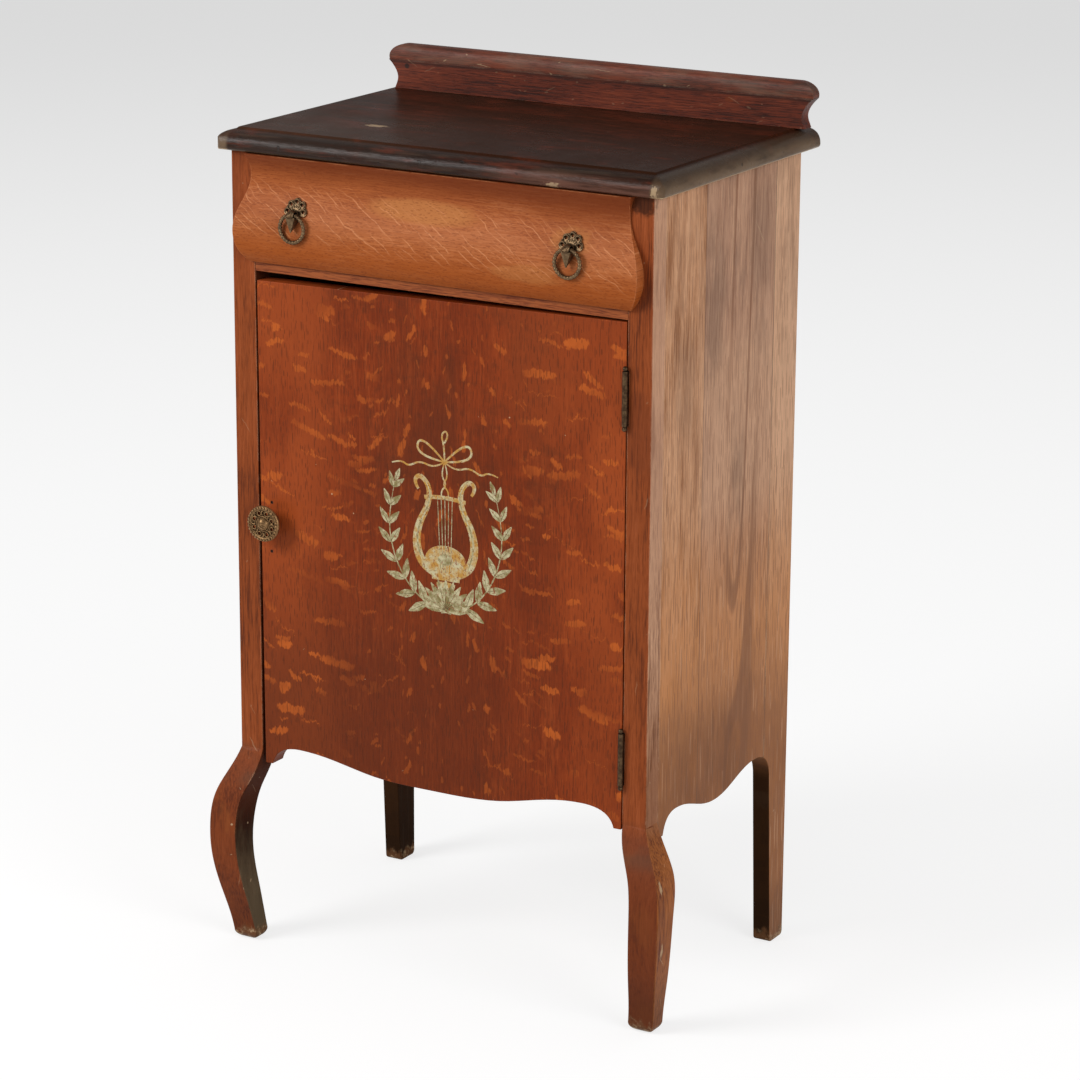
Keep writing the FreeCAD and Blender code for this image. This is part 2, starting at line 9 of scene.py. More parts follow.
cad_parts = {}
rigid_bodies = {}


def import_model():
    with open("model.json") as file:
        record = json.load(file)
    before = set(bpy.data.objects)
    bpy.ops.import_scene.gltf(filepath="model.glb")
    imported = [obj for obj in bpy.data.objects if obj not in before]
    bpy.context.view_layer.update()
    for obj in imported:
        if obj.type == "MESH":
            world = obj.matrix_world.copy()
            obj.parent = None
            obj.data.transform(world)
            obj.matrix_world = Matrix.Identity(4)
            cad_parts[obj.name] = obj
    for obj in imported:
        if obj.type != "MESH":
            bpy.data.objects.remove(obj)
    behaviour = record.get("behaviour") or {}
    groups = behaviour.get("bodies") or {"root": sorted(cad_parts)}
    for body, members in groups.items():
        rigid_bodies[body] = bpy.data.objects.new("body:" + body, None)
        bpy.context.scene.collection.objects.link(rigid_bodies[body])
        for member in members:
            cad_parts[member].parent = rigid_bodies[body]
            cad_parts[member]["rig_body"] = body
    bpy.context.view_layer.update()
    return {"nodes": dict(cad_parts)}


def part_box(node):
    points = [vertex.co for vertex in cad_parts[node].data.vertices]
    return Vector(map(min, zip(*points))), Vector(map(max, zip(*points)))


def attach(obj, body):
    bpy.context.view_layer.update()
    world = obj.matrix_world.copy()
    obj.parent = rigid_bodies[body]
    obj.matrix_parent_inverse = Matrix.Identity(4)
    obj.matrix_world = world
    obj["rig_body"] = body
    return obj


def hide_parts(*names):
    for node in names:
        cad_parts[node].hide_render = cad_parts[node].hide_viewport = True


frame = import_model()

bl_info = {
    "name": "Music cabinet",
    "version": (1, 0, 0),
    "blender": (4, 5, 0),
    "location": "3D View > Sidebar > Cabinet",
    "description": "Finishes the oak music cabinet and sets it in a pale studio",
    "category": "Object",
}

nodes = frame["nodes"]
top_low, top_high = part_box("top_board")
knob_low, knob_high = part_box("knob_disc")
door_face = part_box("door_panel")[0].y
top_face = top_high.z
leg_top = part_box("front_leg_left")[1].z
SIDES = ("left", "right")
MM = 0.001


# Settings that a user would change

def paint(*screen):
    """Colour given as on screen, from 0 to 255, as Blender's linear colour."""
    def linear(level):
        level = level / 255
        return level / 12.92 if level <= 0.04045 else ((level + 0.055) / 1.055) ** 2.4
    return [linear(level) for level in screen]


def tone(name, description, *screen):
    return bpy.props.FloatVectorProperty(name=name, description=description, default=paint(*screen), size=3,
                                         min=0.0, max=1.0, subtype="COLOR")


def measure(name, description, default):
    return bpy.props.FloatProperty(name=name, description=description, default=default, min=0.0,
                                   unit="LENGTH", subtype="DISTANCE", precision=5)


def share(name, description, default):
    return bpy.props.FloatProperty(name=name, description=description, default=default, min=0.0, max=1.0,
                                   subtype="FACTOR")


def count(name, description, default):
    return bpy.props.IntProperty(name=name, description=description, default=default, min=8)


def angle(name, description, degrees):
    return bpy.props.FloatProperty(name=name, description=description, default=math.radians(degrees),
                                   subtype="ANGLE", unit="ROTATION")


def power(name, description, watts):
    return bpy.props.FloatProperty(name=name, description=description, default=watts, min=0.0, unit="POWER")


class CabinetOakTones(bpy.types.PropertyGroup):
    door_light: tone("Door light", "Bright fibres of the door", 166, 76, 33)
    door_mid: tone("Door ground", "Main stain of the door", 137, 55, 20)
    door_dark: tone("Door dark", "Dark fibres of the door", 108, 41, 15)
    door_fleck: tone("Door fleck", "Ray flecks of the door", 198, 98, 38)
    door_smoke: tone("Door smoke", "Smoky figure of the door", 86, 40, 20)
    drawer_light: tone("Drawer light", "Bright fibres of the drawer front", 188, 112, 66)
    drawer_mid: tone("Drawer ground", "Main tone of the drawer front", 170, 92, 46)
    drawer_fibre: tone("Drawer fibre", "Fine fibres of the drawer front", 158, 84, 42)
    drawer_dark: tone("Drawer dark", "Dark fibres of the drawer front", 118, 52, 22)
    drawer_line: tone("Drawer ray line", "Slanting ray lines of the drawer front", 214, 142, 94)
    # Painted sheen: pale patches on the drawer front
    drawer_sheen: tone("Drawer worn patch", "Pale patches where the varnish is gone", 192, 124, 70)
    drawer_gold: tone("Drawer gold", "Golden lower edge of the drawer front", 170, 84, 28)
    side_light: tone("Side light", "Bright fibres of the sides", 230, 182, 146)
    side_mid: tone("Side ground", "Main tone of the sides", 204, 156, 122)
    side_dark: tone("Side dark", "Dark fibres of the sides", 132, 86, 58)
    side_stain: tone("Side stain", "Smoky stains on the sides", 88, 66, 54)
    side_gold: tone("Side gold", "Golden board of the sides", 206, 137, 82)
    side_rose: tone("Side rose", "Rosy board of the sides", 184, 140, 115)
    side_pale: tone("Side pale", "Sides of the front posts", 206, 158, 128)
    hem: tone("Hem", "Brown lower edge of the sides", 108, 64, 36)
    side_low: tone("Side low", "Darker foot of the sides and the rear legs", 127, 71, 31)
    post_light: tone("Post light", "Bright fibres of the posts and legs", 160, 82, 44)
    post_mid: tone("Post ground", "Main stain of the posts and legs", 146, 72, 35)
    post_dark: tone("Post dark", "Dark fibres of the posts and legs", 100, 48, 27)
    leg_light: tone("Leg light", "Bright fibres of the legs' outer faces", 182, 110, 58)
    leg_grey: tone("Leg grey", "Dull brown under the leg joints", 98, 66, 48)
    leg_mid: tone("Leg ground", "Main tone of the legs' outer faces", 156, 90, 44)
    top_light: tone("Top light", "Red wear of the top board", 94, 41, 25)
    top_mid: tone("Top ground", "Main stain of the top board", 62, 32, 20)
    top_dark: tone("Top dark", "Blackened old finish of the top board", 48, 27, 16)
    gallery_light: tone("Gallery light", "Bright fibres of the gallery", 122, 56, 34)
    gallery_mid: tone("Gallery ground", "Main stain of the gallery", 98, 42, 26)
    gallery_dark: tone("Gallery dark", "Dark fibres of the gallery", 60, 28, 20)
    mauve: tone("Mauve", "Rubbed right half of the top board's nose", 112, 74, 60)
    rim: tone("Rim", "Faded ends of the top board", 132, 108, 84)
    worn: tone("Worn arris", "Rubbed edges of dark pieces", 128, 104, 86)
    bare: tone("Bare oak", "Oak with no finish left, on feet and chips", 204, 174, 136)
    # Real soiling in holes, dents and corners, and also the dark tone of painted shade under the top
    # board's overhang, in the gallery's quirk, on its back and on faces turned away from the light
    grime_and_shade: tone("Grime", "Old dirt in corners", 20, 14, 10)
    # Painted shade, with some soiling: near black on faces turned away from the light, paler olive near the
    # floor
    dust_and_shade: tone("Dust", "Old dust on hidden faces", 26, 19, 12)
    dust_and_shade_low: tone("Dust near the floor", "Olive dust on the legs' inner faces", 112, 98, 76)
    tip: tone("Foot tip", "Brown worn wood of the feet", 112, 76, 50)
    inside_light: tone("Inside light", "Bright fibres of the inside boards", 176, 134, 88)
    inside_mid: tone("Inside ground", "Main tone of the inside boards", 146, 104, 64)
    inside_dark: tone("Inside dark", "Dark fibres of the inside boards", 122, 85, 53)


class CabinetMetalTones(bpy.types.PropertyGroup):
    knob_bright: tone("Knob bright", "Rubbed high spots of the knob", 168, 133, 92)
    knob_body: tone("Knob body", "Dull brown body of the knob", 122, 93, 62)
    knob_dark: tone("Knob dark", "Hollows of the knob", 60, 40, 26)
    brass_bright: tone("Brass bright", "Rubbed high spots of the old brass", 128, 104, 76)
    brass_body: tone("Brass body", "Dull brown body of the old brass", 90, 71, 51)
    brass_dark: tone("Brass dark", "Dark hollows of the old brass", 40, 29, 20)
    bronze_bright: tone("Bronze bright", "Rubbed high spots of the hinges", 104, 82, 58)
    bronze_body: tone("Bronze body", "Body of the darkened hinges", 58, 42, 30)
    bronze_dark: tone("Bronze dark", "Hollows of the darkened hinges", 24, 17, 13)


class CabinetPrintTones(bpy.types.PropertyGroup):
    cream: tone("Cream", "Pale ink of leaves", 204, 194, 154)
    ochre: tone("Ochre", "Warm ink of the lyre", 192, 142, 66)
    olive: tone("Olive", "Shaded side of leaves", 138, 124, 78)
    ink: tone("Ink", "Fine dark drawing lines", 70, 44, 24)


class CabinetSizes(bpy.types.PropertyGroup):
    arris: measure("Eased arris", "Width of the rubbed edge of the boards", 0.9 * MM)
    bead: measure("Knob bead", "Radius of the beads round the knob", 1.35 * MM)
    bead_count: count("Knob beads", "Beads round the knob", 30)
    notch: share("Ring notch", "Depth of the ring's notches, as a part of its wire", 0.34)
    notch_count: count("Ring notches", "Notches round a ring", 26)
    print_lift: measure("Print lift", "Thickness of one coat of the print", 0.05 * MM)


class CabinetStudio(bpy.types.PropertyGroup):
    azimuth: angle("Azimuth", "Camera's turn to the right of the front", 30.38)
    elevation: angle("Elevation", "Camera's height over the level", 16.09)
    roll: angle("Roll", "Tilt of the picture", 0.325)
    distance: measure("Distance", "Camera to the point it looks at", 3.77725)
    target: bpy.props.FloatVectorProperty(name="Target", description="Point that the camera looks at",
                                          default=(0.12310, -0.1545, 0.51133), unit="LENGTH",
                                          subtype="TRANSLATION")
    lens: bpy.props.FloatProperty(name="Lens", description="Focal length on a 36 mm sensor, in mm",
                                  default=124.255, min=1.0)
    key_power: power("Key light", "Power of the large light at the left", 95.0)
    fill_power: power("Fill light", "Power of the soft light at the right", 45.0)
    sky: share("Sky", "Level of the even light from all sides", 0.42)
    backdrop_near: tone("Near floor", "Floor round the cabinet", 255, 255, 255)
    backdrop_far: tone("Far floor", "Floor far behind the cabinet", 226, 226, 226)


class CabinetSettings(bpy.types.PropertyGroup):
    oak: bpy.props.PointerProperty(type=CabinetOakTones, name="Oak", description="Tones of the oak")
    metal: bpy.props.PointerProperty(type=CabinetMetalTones, name="Metal", description="Tones of the brass")
    print: bpy.props.PointerProperty(type=CabinetPrintTones, name="Print", description="Inks of the print")
    sizes: bpy.props.PointerProperty(type=CabinetSizes, name="Sizes", description="Sizes of fine work")
    studio: bpy.props.PointerProperty(type=CabinetStudio, name="Studio", description="Camera and light")


def settings():
    return bpy.context.scene.music_cabinet


# Shader nodes

class Wire:
    """One output of a node: sums and products lay more nodes, and | takes the larger of two masks."""

    def __init__(self, bench, socket):
        self.bench = bench
        self.socket = socket

    def __add__(self, other):
        return self.bench.calc("ADD", self, other)

    def __sub__(self, other):
        return self.bench.calc("SUBTRACT", self, other)

    def __rsub__(self, other):
        return self.bench.calc("SUBTRACT", other, self)

    def __mul__(self, other):
        return self.bench.calc("MULTIPLY", self, other)

    def __truediv__(self, other):
        return self.bench.calc("DIVIDE", self, other)

    def __pow__(self, other):
        return self.bench.calc("POWER", self, other)

    def __or__(self, other):
        return self.bench.calc("MAXIMUM", self, other)

    def __abs__(self):
        return self.bench.calc("ABSOLUTE", self)

    def axes(self, splitter="SeparateXYZ"):
        return [Wire(self.bench, socket) for socket in self.bench.add(splitter, {0: self}).outputs]

    def step(self, low, high):
        """Soft step from 0 at low to 1 at high; low may be the larger one."""
        return self.bench.out(0, "MapRange", {"Value": self, "From Min": low, "From Max": high},
                              interpolation_type="SMOOTHSTEP")

    def band(self, middle, reach, soft):
        """1 within reach of the middle, fading over soft."""
        return abs(self - middle).step(reach + soft, reach)

    def noise(self, across, along, detail=2.0, rough=0.5, output=0):
        """Clouds: across gives how many to a metre of x and y, as one number or two, along those of z."""
        x, y = across if isinstance(across, tuple) else (across, across)
        return self.bench.out(output, "TexNoise", {"Vector": self * (x, y, along), "Scale": 1.0,
                                                   "Detail": detail, "Roughness": rough})

    def marks(self, cell, length, width, turn, spread, kept, wobble=0.0, shift=(0.0, 0.0), blunt=2.0):
        """Strokes strewn over x and z: sizes in mm, turn and spread in degrees, shift in metres."""
        turn = turn if isinstance(turn, Wire) else math.radians(turn)
        return self.bench.group("Scattered Marks", {
            "Vector": self + (shift[0], 0.0, shift[1]), "Cell": cell * MM, "Length": length * MM,
            "Width": width * MM, "Angle": turn, "Spread": math.radians(spread), "Share": kept,
            "Wobble": wobble * MM, "Blunt": blunt})["Mask"]

    def spot(self, centre, size, ragged):
        """One ragged spot; its half sizes are in mm."""
        return self.bench.group("Spot", {"Vector": self, "Centre": centre, "Ragged": ragged,
                                         "Size": [side * MM for side in size]})["Mask"]


class Bench:
    """Lays nodes in one tree. An input given a wire is joined to it, any other value is set."""

    def __init__(self, tree):
        self.tree = tree

    def feed(self, socket, value):
        if isinstance(value, Wire):
            self.tree.links.new(value.socket, socket)
        elif socket.type == "RGBA" and len(value) == 3:
            socket.default_value = (*value, 1.0)
        else:
            socket.default_value = value

    def add(self, kind, inputs=None, **attributes):
        node = self.tree.nodes.new("ShaderNode" + kind)
        for key, value in attributes.items():
            setattr(node, key, value)
        for key, value in (inputs or {}).items():
            self.feed(node.inputs[key], value)
        return node

    def out(self, output, kind, inputs=None, **attributes):
        return Wire(self, self.add(kind, inputs, **attributes).outputs[output])

    def calc(self, operation, *values):
        """Math of numbers, or of vectors where the first value is one."""
        first = values[0]
        if not isinstance(first, Wire) or first.socket.type == "VALUE":
            return self.out(0, "Math", dict(enumerate(values)), operation=operation)
        output = "Value" if operation in ("LENGTH", "DOT_PRODUCT") else "Vector"
        return self.out(output, "VectorMath", dict(enumerate(values)), operation=operation)

    def joined(self, x, y, z):
        return self.out(0, "CombineXYZ", {0: x, 1: y, 2: z})

    def mix(self, amount, first, second, blend="MIX"):
        return self.out(2, "Mix", {0: amount, 6: first, 7: second}, data_type="RGBA", blend_type=blend)

    def mix_shader(self, amount, first, second):
        return self.out(0, "MixShader", {0: amount, 1: first, 2: second})

    def group(self, name, inputs):
        node = self.add("Group", inputs, node_tree=shared_effect(name))
        return {socket.name: Wire(self, socket) for socket in node.outputs}


def fresh_bench(holder):
    """Bench on the emptied tree of a material or world."""
    holder.use_nodes = True
    holder.node_tree.nodes.clear()
    return Bench(holder.node_tree)


EFFECTS = {}
SOCKETS = {
    "Vector": "NodeSocketVector", "Centre": "NodeSocketVector", "Size": "NodeSocketVector",
    "Bright": "NodeSocketColor", "Body": "NodeSocketColor", "Dark": "NodeSocketColor",
    "Color": "NodeSocketColor",
}


def effect(name, inputs, outputs=("Mask",)):
    """Keeps the function below as the maker of a node group: given the inputs, it returns the outputs."""
    def keep(build):
        EFFECTS[name] = (build, inputs, outputs)
        return build
    return keep


def shared_effect(name):
    """The node group of that name, made the first time that it is asked for."""
    if name not in bpy.data.node_groups:
        build, inputs, outputs = EFFECTS[name]
        tree = bpy.data.node_groups.new(name, "ShaderNodeTree")
        for way, names in (("INPUT", inputs), ("OUTPUT", outputs)):
            for key in names:
                kind = SOCKETS.get(key, "NodeSocketFloat")
                tree.interface.new_socket(name=key, in_out=way, socket_type=kind)
        bench = Bench(tree)
        given = tree.nodes.new("NodeGroupInput").outputs
        result = tree.nodes.new("NodeGroupOutput").inputs
        for key, wire in zip(outputs, build(bench, *[Wire(bench, given[key]) for key in inputs])):
            bench.feed(result[key], wire)
    return bpy.data.node_groups[name]


HALF = (0.5, 0.5, 0.5)


@effect("Oak Grain", ("Vector", "Figure", "Lines"), ("Tone", "Pores", "Height"))
def oak_grain(bench, place, figure, lines):
    """Fibres, pores and cathedral lines of oak that grows along the vector's z."""
    bent = place + (place.noise(6, 1.5, output=1) - HALF) * (0.012, 0.012, 0.0)
    streak = bent.noise(430, 16)
    fibre = bent.noise(900, 44, 2, 0.6)
    broad = place.noise(24, 8, 6, 0.66)
    rings = bench.calc("SINE", place.noise(9, 0.8, 1, 0.4) * lines) * 0.5 + 0.5
    even = streak * 0.3 + fibre * 0.3 + broad * 0.4
    lined = rings * 0.4 + even * 0.6
    x, y, z = bent.axes()
    drawn = bench.joined(x + y, 0.0, z * 0.2)
    pores = drawn.marks(3, 2.4, 0.45, 90, 5, 0.8) | drawn.marks(2.1, 1.6, 0.34, 90, 5, 0.7, 0, (0.3, 0.8))
    shade = bench.out(0, "Mix", {0: figure, 2: even, 3: lined}, data_type="FLOAT")
    return shade, pores, fibre * 0.4 - pores * 0.6


@effect("Scattered Marks",
        ("Vector", "Cell", "Length", "Width", "Angle", "Spread", "Share", "Wobble", "Blunt"))
def scattered_marks(bench, place, cell, length, width, turn, spread, kept, wobble, blunt):
    """Strokes strewn over the x-z plane, one to a cell, each with its own turn and size."""
    x, _, z = place.axes()
    flat = bench.joined(x, z, 0.0)
    cloud = flat.noise(85, 1, 4, 0.62, output=1) - HALF
    flat = flat + cloud * bench.joined(wobble, wobble, 0.0)
    cell = bench.joined(cell, cell, 1.0)
    cells = bench.add("TexVoronoi", {"Vector": flat / cell, "Scale": 1.0, "Randomness": 0.85},
                      voronoi_dimensions="2D", feature="F1").outputs
    away = flat - Wire(bench, cells["Position"]) * cell
    first, second, third = Wire(bench, cells["Color"]).axes("SeparateColor")
    turned = bench.out(0, "VectorRotate", {"Vector": away, "Angle": (first - 0.5) * spread + turn},
                       rotation_type="Z_AXIS")
    along, across, _ = turned.axes()
    along = abs(along / (length * (second * 0.7 + 0.35))) ** blunt
    across = abs(across / (width * (third * 0.9 + 0.4))) ** 2
    stroke = (along + across).step(1.05, 0.5)
    drawn = bench.calc("LESS_THAN", bench.calc("FRACT", first * 7.13 + second * 3.71), kept)
    return [stroke * drawn * (third * 0.45 + 0.55)]


@effect("Ray Lines", ("Vector", "Spacing", "Slope", "Width", "Share"))
def ray_lines(bench, place, spacing, slope, width, kept):
    """Fine parallel ray lines that fall to the right over the x-z plane, each in lengths of its own."""
    x, _, z = place.axes()
    bend = bench.joined(x, z, 0.0).noise((24, 44), 1) - 0.5
    row = (bend * 0.016 + (x * slope + z)) / spacing
    away = abs(bench.calc("FRACT", row) - 0.5) * spacing
    number = bench.calc("FLOOR", row)
    length = bench.joined(x * 30, number * 3.7, 0.0).noise(1, 1, 0)
    ease = kept * 0.25
    return [away.step(width, width * 0.3) * length.step(0.62 - ease, 0.70 - ease)]


@effect("Spot", ("Vector", "Centre", "Size", "Ragged"))
def ragged_spot(bench, place, centre, size, ragged):
    """One ragged spot round a centre."""
    away = (place - centre) / size
    cloud = bench.out(0, "TexNoise", {"Vector": away, "Scale": 2.1, "Detail": 3.0}) - 0.5
    return [(cloud * ragged + bench.calc("LENGTH", away)).step(1.0, 0.55)]


def edge_turn(bench, reach):
    """How far the surface turns within reach: 0 on a flat face."""
    rounded = bench.out(0, "Bevel", {"Radius": reach}, samples=6)
    return 1 - bench.calc("DOT_PRODUCT", rounded, bench.out("Normal", "NewGeometry"))


@effect("Edge Wear", ("Vector", "Reach", "Break"))
def edge_wear(bench, place, reach, gap):
    """Rubbed edges, broken up by a cloud."""
    broken = (place.noise(46, 46, 4, 0.65) - gap).step(-0.02, 0.14)
    return [edge_turn(bench, reach).step(0.015, 0.14) * broken]


@effect("Crevice Shade And Dirt", ("Vector", "Reach"))
def crevice_shade_and_dirt(bench, place, reach):
    """Painted shade where surfaces meet, found by ambient occlusion and broken up by a cloud as old
    soiling.
    """
    closed = bench.out("AO", "AmbientOcclusion", {"Distance": reach}, samples=6).step(0.75, 0.25)
    return [closed * (place.noise(30, 30, 3, 0.6) * 0.7 + 0.5)]


@effect("Old Metal", ("Vector", "Bright", "Body", "Dark"), ("Color", "Rough", "Height"))
def old_metal(bench, place, bright, body, dark):
    """Dull cast metal: dark in the hollows, rubbed bright on the high spots."""
    cloud = place.noise(260, 260, 4, 0.65)
    pits = place.noise(1500, 1500, 2, 0.6)
    hollow = bench.out("AO", "AmbientOcclusion", {"Distance": 4.0 * MM}, samples=8).step(0.9, 0.35)
    rubbed = (edge_turn(bench, 0.5 * MM) + cloud * 0.1).step(0.05, 0.2) * 0.8
    colour = bench.mix(cloud.step(0.35, 0.7), body, bright)
    colour = bench.mix(pits.step(0.52, 0.75), colour, body)
    colour = bench.mix(rubbed, colour, bright)
    rough = cloud * 0.16 + hollow * 0.25 + 0.34
    return bench.mix(hollow, colour, dark), rough, cloud * 0.5 + pits * 0.5


# Finishes

class Finish:
    """One material: the place on the piece, and a colour that is built up coat by coat."""

    def __init__(self, name):
        self.material = bpy.data.materials.new(name)
        self.bench = fresh_bench(self.material)
        self.place = self.bench.out("Object", "TexCoord")
        self.axes = self.place.axes()
        self.colour = None

    def along_x(self):
        """The place turned so that the grain runs from left to right."""
        x, y, z = self.axes
        return self.bench.joined(z, y, x)

    def facing(self):
        """The way that the surface faces, as x, y and z."""
        return self.bench.out("Normal", "NewGeometry").axes()

    def away_from_middle(self, facing):
        """1 on faces that look out of the cabinet to the left or right, -1 on those that look inwards."""
        return facing[0] * self.bench.calc("SIGN", self.axes[0])

    def grain(self, place, figure=0.1, lines=60.0):
        return self.bench.group("Oak Grain", {"Vector": place, "Figure": figure, "Lines": lines})

    def stained(self, grain, light, mid, dark, pores=0.55):
        """Oak in three tones, with its pores in the dark one."""
        mix = self.bench.mix
        colour = mix(grain["Tone"].step(0.39, 0.50), dark, mid)
        colour = mix(grain["Tone"].step(0.49, 0.61), colour, light)
        return mix(grain["Pores"] * pores, colour, dark, "MULTIPLY")

    def wear(self, reach, gap):
        """Rubbed edges at half strength; reach is in mm."""
        rubbed = self.bench.group("Edge Wear", {"Vector": self.place, "Reach": reach * MM, "Break": gap})
        return rubbed["Mask"] * 0.5

    # Painted shade where surfaces meet, with some soiling; reach is in mm
    def shade_and_dirt(self, reach):
        return self.bench.group("Crevice Shade And Dirt", {"Vector": self.place, "Reach": reach * MM})["Mask"]

    def blend(self, coat, amount):
        """Lays a tone over the colour so far."""
        self.colour = self.bench.mix(amount, self.colour, coat)

    def close(self, height, depth, rough, gloss=0.2, strength=0.35, metal=0.0):
        """Joins the colour, the bump, whose depth is in mm, and the roughness to the shader."""
        bump = self.bench.out(0, "Bump", {"Height": height, "Distance": depth * MM, "Strength": strength})
        shader = self.bench.out(0, "BsdfPrincipled", {
            "Base Color": self.colour, "Roughness": rough, "Normal": bump, "Metallic": metal,
            "Specular IOR Level": gloss})
        self.bench.add("OutputMaterial", {"Surface": shader})


def door_finish(f, oak):
    """Quarter-sawn oak: red-brown, frayed ray flecks that lie at both sides and stand in the middle."""
    b = f.bench
    place = f.place
    x, y, z = f.axes
    grain = f.grain(place, 0.05)
    f.colour = f.stained(grain, oak.door_light, oak.door_mid, oak.door_dark, 0.4)
    f.blend(oak.door_mid, 0.45)
    f.blend(oak.door_dark, place.noise(34, 22, 5, 0.68).step(0.42, 0.66) * 0.42)
    figure_middle = 0.012
    off = x - figure_middle
    away = abs(off)
    low_middle = away.step(0.17, 0.0) * z.step(0.58, 0.32) * 0.42
    smoke = place.noise(17, 7, 5, 0.65).step(0.40, 0.64) * (away.step(0.15, 0.02) * 0.42 + 0.14)
    f.blend(oak.door_smoke, smoke | low_middle)
    blotch = place.noise(26, 40, 5, 0.66).step(0.5, 0.68) * z.step(0.42, 0.56) * away.step(0.2, 0.12)
    f.blend(oak.door_smoke, blotch * 0.42)
    f.blend(oak.door_smoke, x.step(0.05, -0.2) * z.step(0.5, 0.28) * 0.75)
    glow = (away.step(0.1, 0.19) * place.noise(9, 5, 3).step(0.34, 0.58) * 0.75
            | x.step(0.02, 0.14) * z.step(0.55, 0.68) * 0.45)
    f.blend(oak.door_light, glow * (z.step(0.32, 0.46) * 0.6 + 0.4))
    fibre = place.noise(380, 10, 3, 0.6) - 0.5
    frayed = b.joined(x, y, fibre * 0.011 + z)
    bars = (frayed.marks(50, 24, 5, 2, 30, 0.8, 10, blunt=4)
            | frayed.marks(36, 15, 3.6, 12, 60, 0.55, 10, (0.31, 0.17), 3)) * away.step(0.075, 0.115)
    thin = frayed.marks(48, 21, 1.3, 8, 50, 0.6, 22, (0.85, 0.62), 4) * away.step(0.03, 0.09) * 0.9
    turn = b.calc("SIGN", off) * away.step(0.135, 0.01) * math.radians(84)
    upright = (frayed.marks(31, 12.5, 3, turn, 36, 0.66, 11, (0.7, 0.4), 2.5)
               | frayed.marks(22, 6.5, 1.8, turn, 60, 0.6, 6, (0.2, 0.9)) * 0.7)
    upright = upright * away.step(0.14, 0.09) * (z.step(0.4, 0.6) * 0.25 + 0.5)
    patchy = place.noise(8, 11).step(0.34, 0.56)
    flecks = ((bars | thin) * patchy | upright) * (grain["Tone"].step(0.30, 0.46) * 0.35 + 0.65)
    front = abs(b.out("Normal", "TexCoord").axes()[1]).step(0.3, 0.7)
    f.blend(oak.door_fleck, flecks * front * (place.noise(26, 60, 3, 0.6) + 0.32))
    drawn = b.joined(x, 0.0, z * 0.3)
    pores = drawn.marks(4.6, 2.6, 0.6, 90, 5, 0.7) | drawn.marks(3.1, 1.8, 0.5, 90, 5, 0.6, 0, (0.3, 0.8))
    f.blend(oak.door_smoke, pores * 0.6)
    f.blend(oak.door_smoke, place.marks(75, 8, 3.2, 90, 20, 0.4, 10, (0.45, 0.05)) * 0.5)
    nail = (2.2, 4, 2.2)
    holes = (place.spot((-0.2056, door_face, knob_high.z - 0.0004), nail, 0.3)
             | place.spot((-0.2066, door_face, knob_high.z - 0.0543), nail, 0.3))
    f.blend(oak.grime_and_shade, holes)
    f.blend(oak.bare, place.marks(60, 1.3, 0.7, 30, 180, 0.25, 1, (0.11, 0.23)) * 0.8)
    f.blend(oak.post_light, f.wear(2.0, 0.45))
    f.close(grain["Height"] - holes * 4, 0.25, place.noise(9, 9, 3) * 0.2 + 0.36, gloss=0.11)


def drawer_finish(f, oak):
    """Honey oak with slanting ray lines, pale patches of painted sheen, and painted shade under the top
    board and where the front meets the parts round it.
    """
    place = f.place
    x, _, z = f.axes
    low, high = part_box("drawer_front")
    face = low.y + 8 * MM

    def rays(vector, spacing, width, kept):
        return f.bench.group("Ray Lines", {"Vector": vector, "Spacing": spacing * MM, "Slope": 0.62,
                                           "Width": width * MM, "Share": kept})["Mask"]

    grain = f.grain(f.along_x(), 0.0)
    f.colour = f.stained(grain, oak.drawer_light, oak.drawer_mid, oak.drawer_fibre, 0.35)
    cloud = place.noise(12, 30, 4, 0.6)
    # Painted shade under the top board's overhang: darker towards the top of the front, more so at the
    # right
    level = z + (x.step(-0.1, 0.22) * 0.012 + 0.014) + cloud * 0.012
    f.blend(oak.drawer_dark, level.step(high.z - 0.012, high.z + 0.018) * 0.8)
    f.blend(oak.drawer_gold, z.step(low.z + 0.045, low.z + 0.012) * (cloud * 0.6 + 0.35))
    f.blend(oak.drawer_light, z.band(low.z + 0.05, 0.006, 0.026) * cloud.step(0.35, 0.6) * 0.4)
    # Painted sheen: pale patches, which are also a little rougher
    patch = (place.spot((-0.012, face, high.z - 0.040), (80, 50, 15), 0.3)
             | place.spot((0.162, face, high.z - 0.050), (28, 50, 16), 0.8) * 0.7
             | place.spot((0.115, face, low.z + 0.026), (50, 50, 12), 0.9) * 0.6)
    f.blend(oak.drawer_sheen, patch * 0.7)
    belt = (x * 0.02 + z).band(low.z + 0.053, 0.016, 0.02)
    lines = rays(place, 8.8, 0.9, 0.5) | rays(place + (0.4, 0.0, 0.003), 5.7, 0.7, 0.4) * 0.5
    f.blend(oak.drawer_line, lines * belt * 0.62)
    pores = (place.marks(4.2, 3.4, 0.6, 0, 16, 0.62, 0.6, (0.2, 0.6))
             | place.marks(3.1, 2.2, 0.5, 0, 20, 0.5, 0.4, (0.7, 0.1)))
    f.blend(oak.drawer_dark, pores * 0.42)
    f.blend(oak.post_dark, place.marks(90, 4, 1.2, 0, 180, 0.25, 4, (0.5, 0.7)) * 0.5)
    f.blend(oak.drawer_line, f.wear(2.0, 0.42))
    # Painted shade, with some soiling, where the drawer front meets the parts round it
    f.blend(oak.post_dark, f.shade_and_dirt(8) * 0.75)
    f.close(grain["Height"], 0.2, place.noise(11, 16, 3) * 0.2 + patch * 0.15 + 0.38, gloss=0.09)


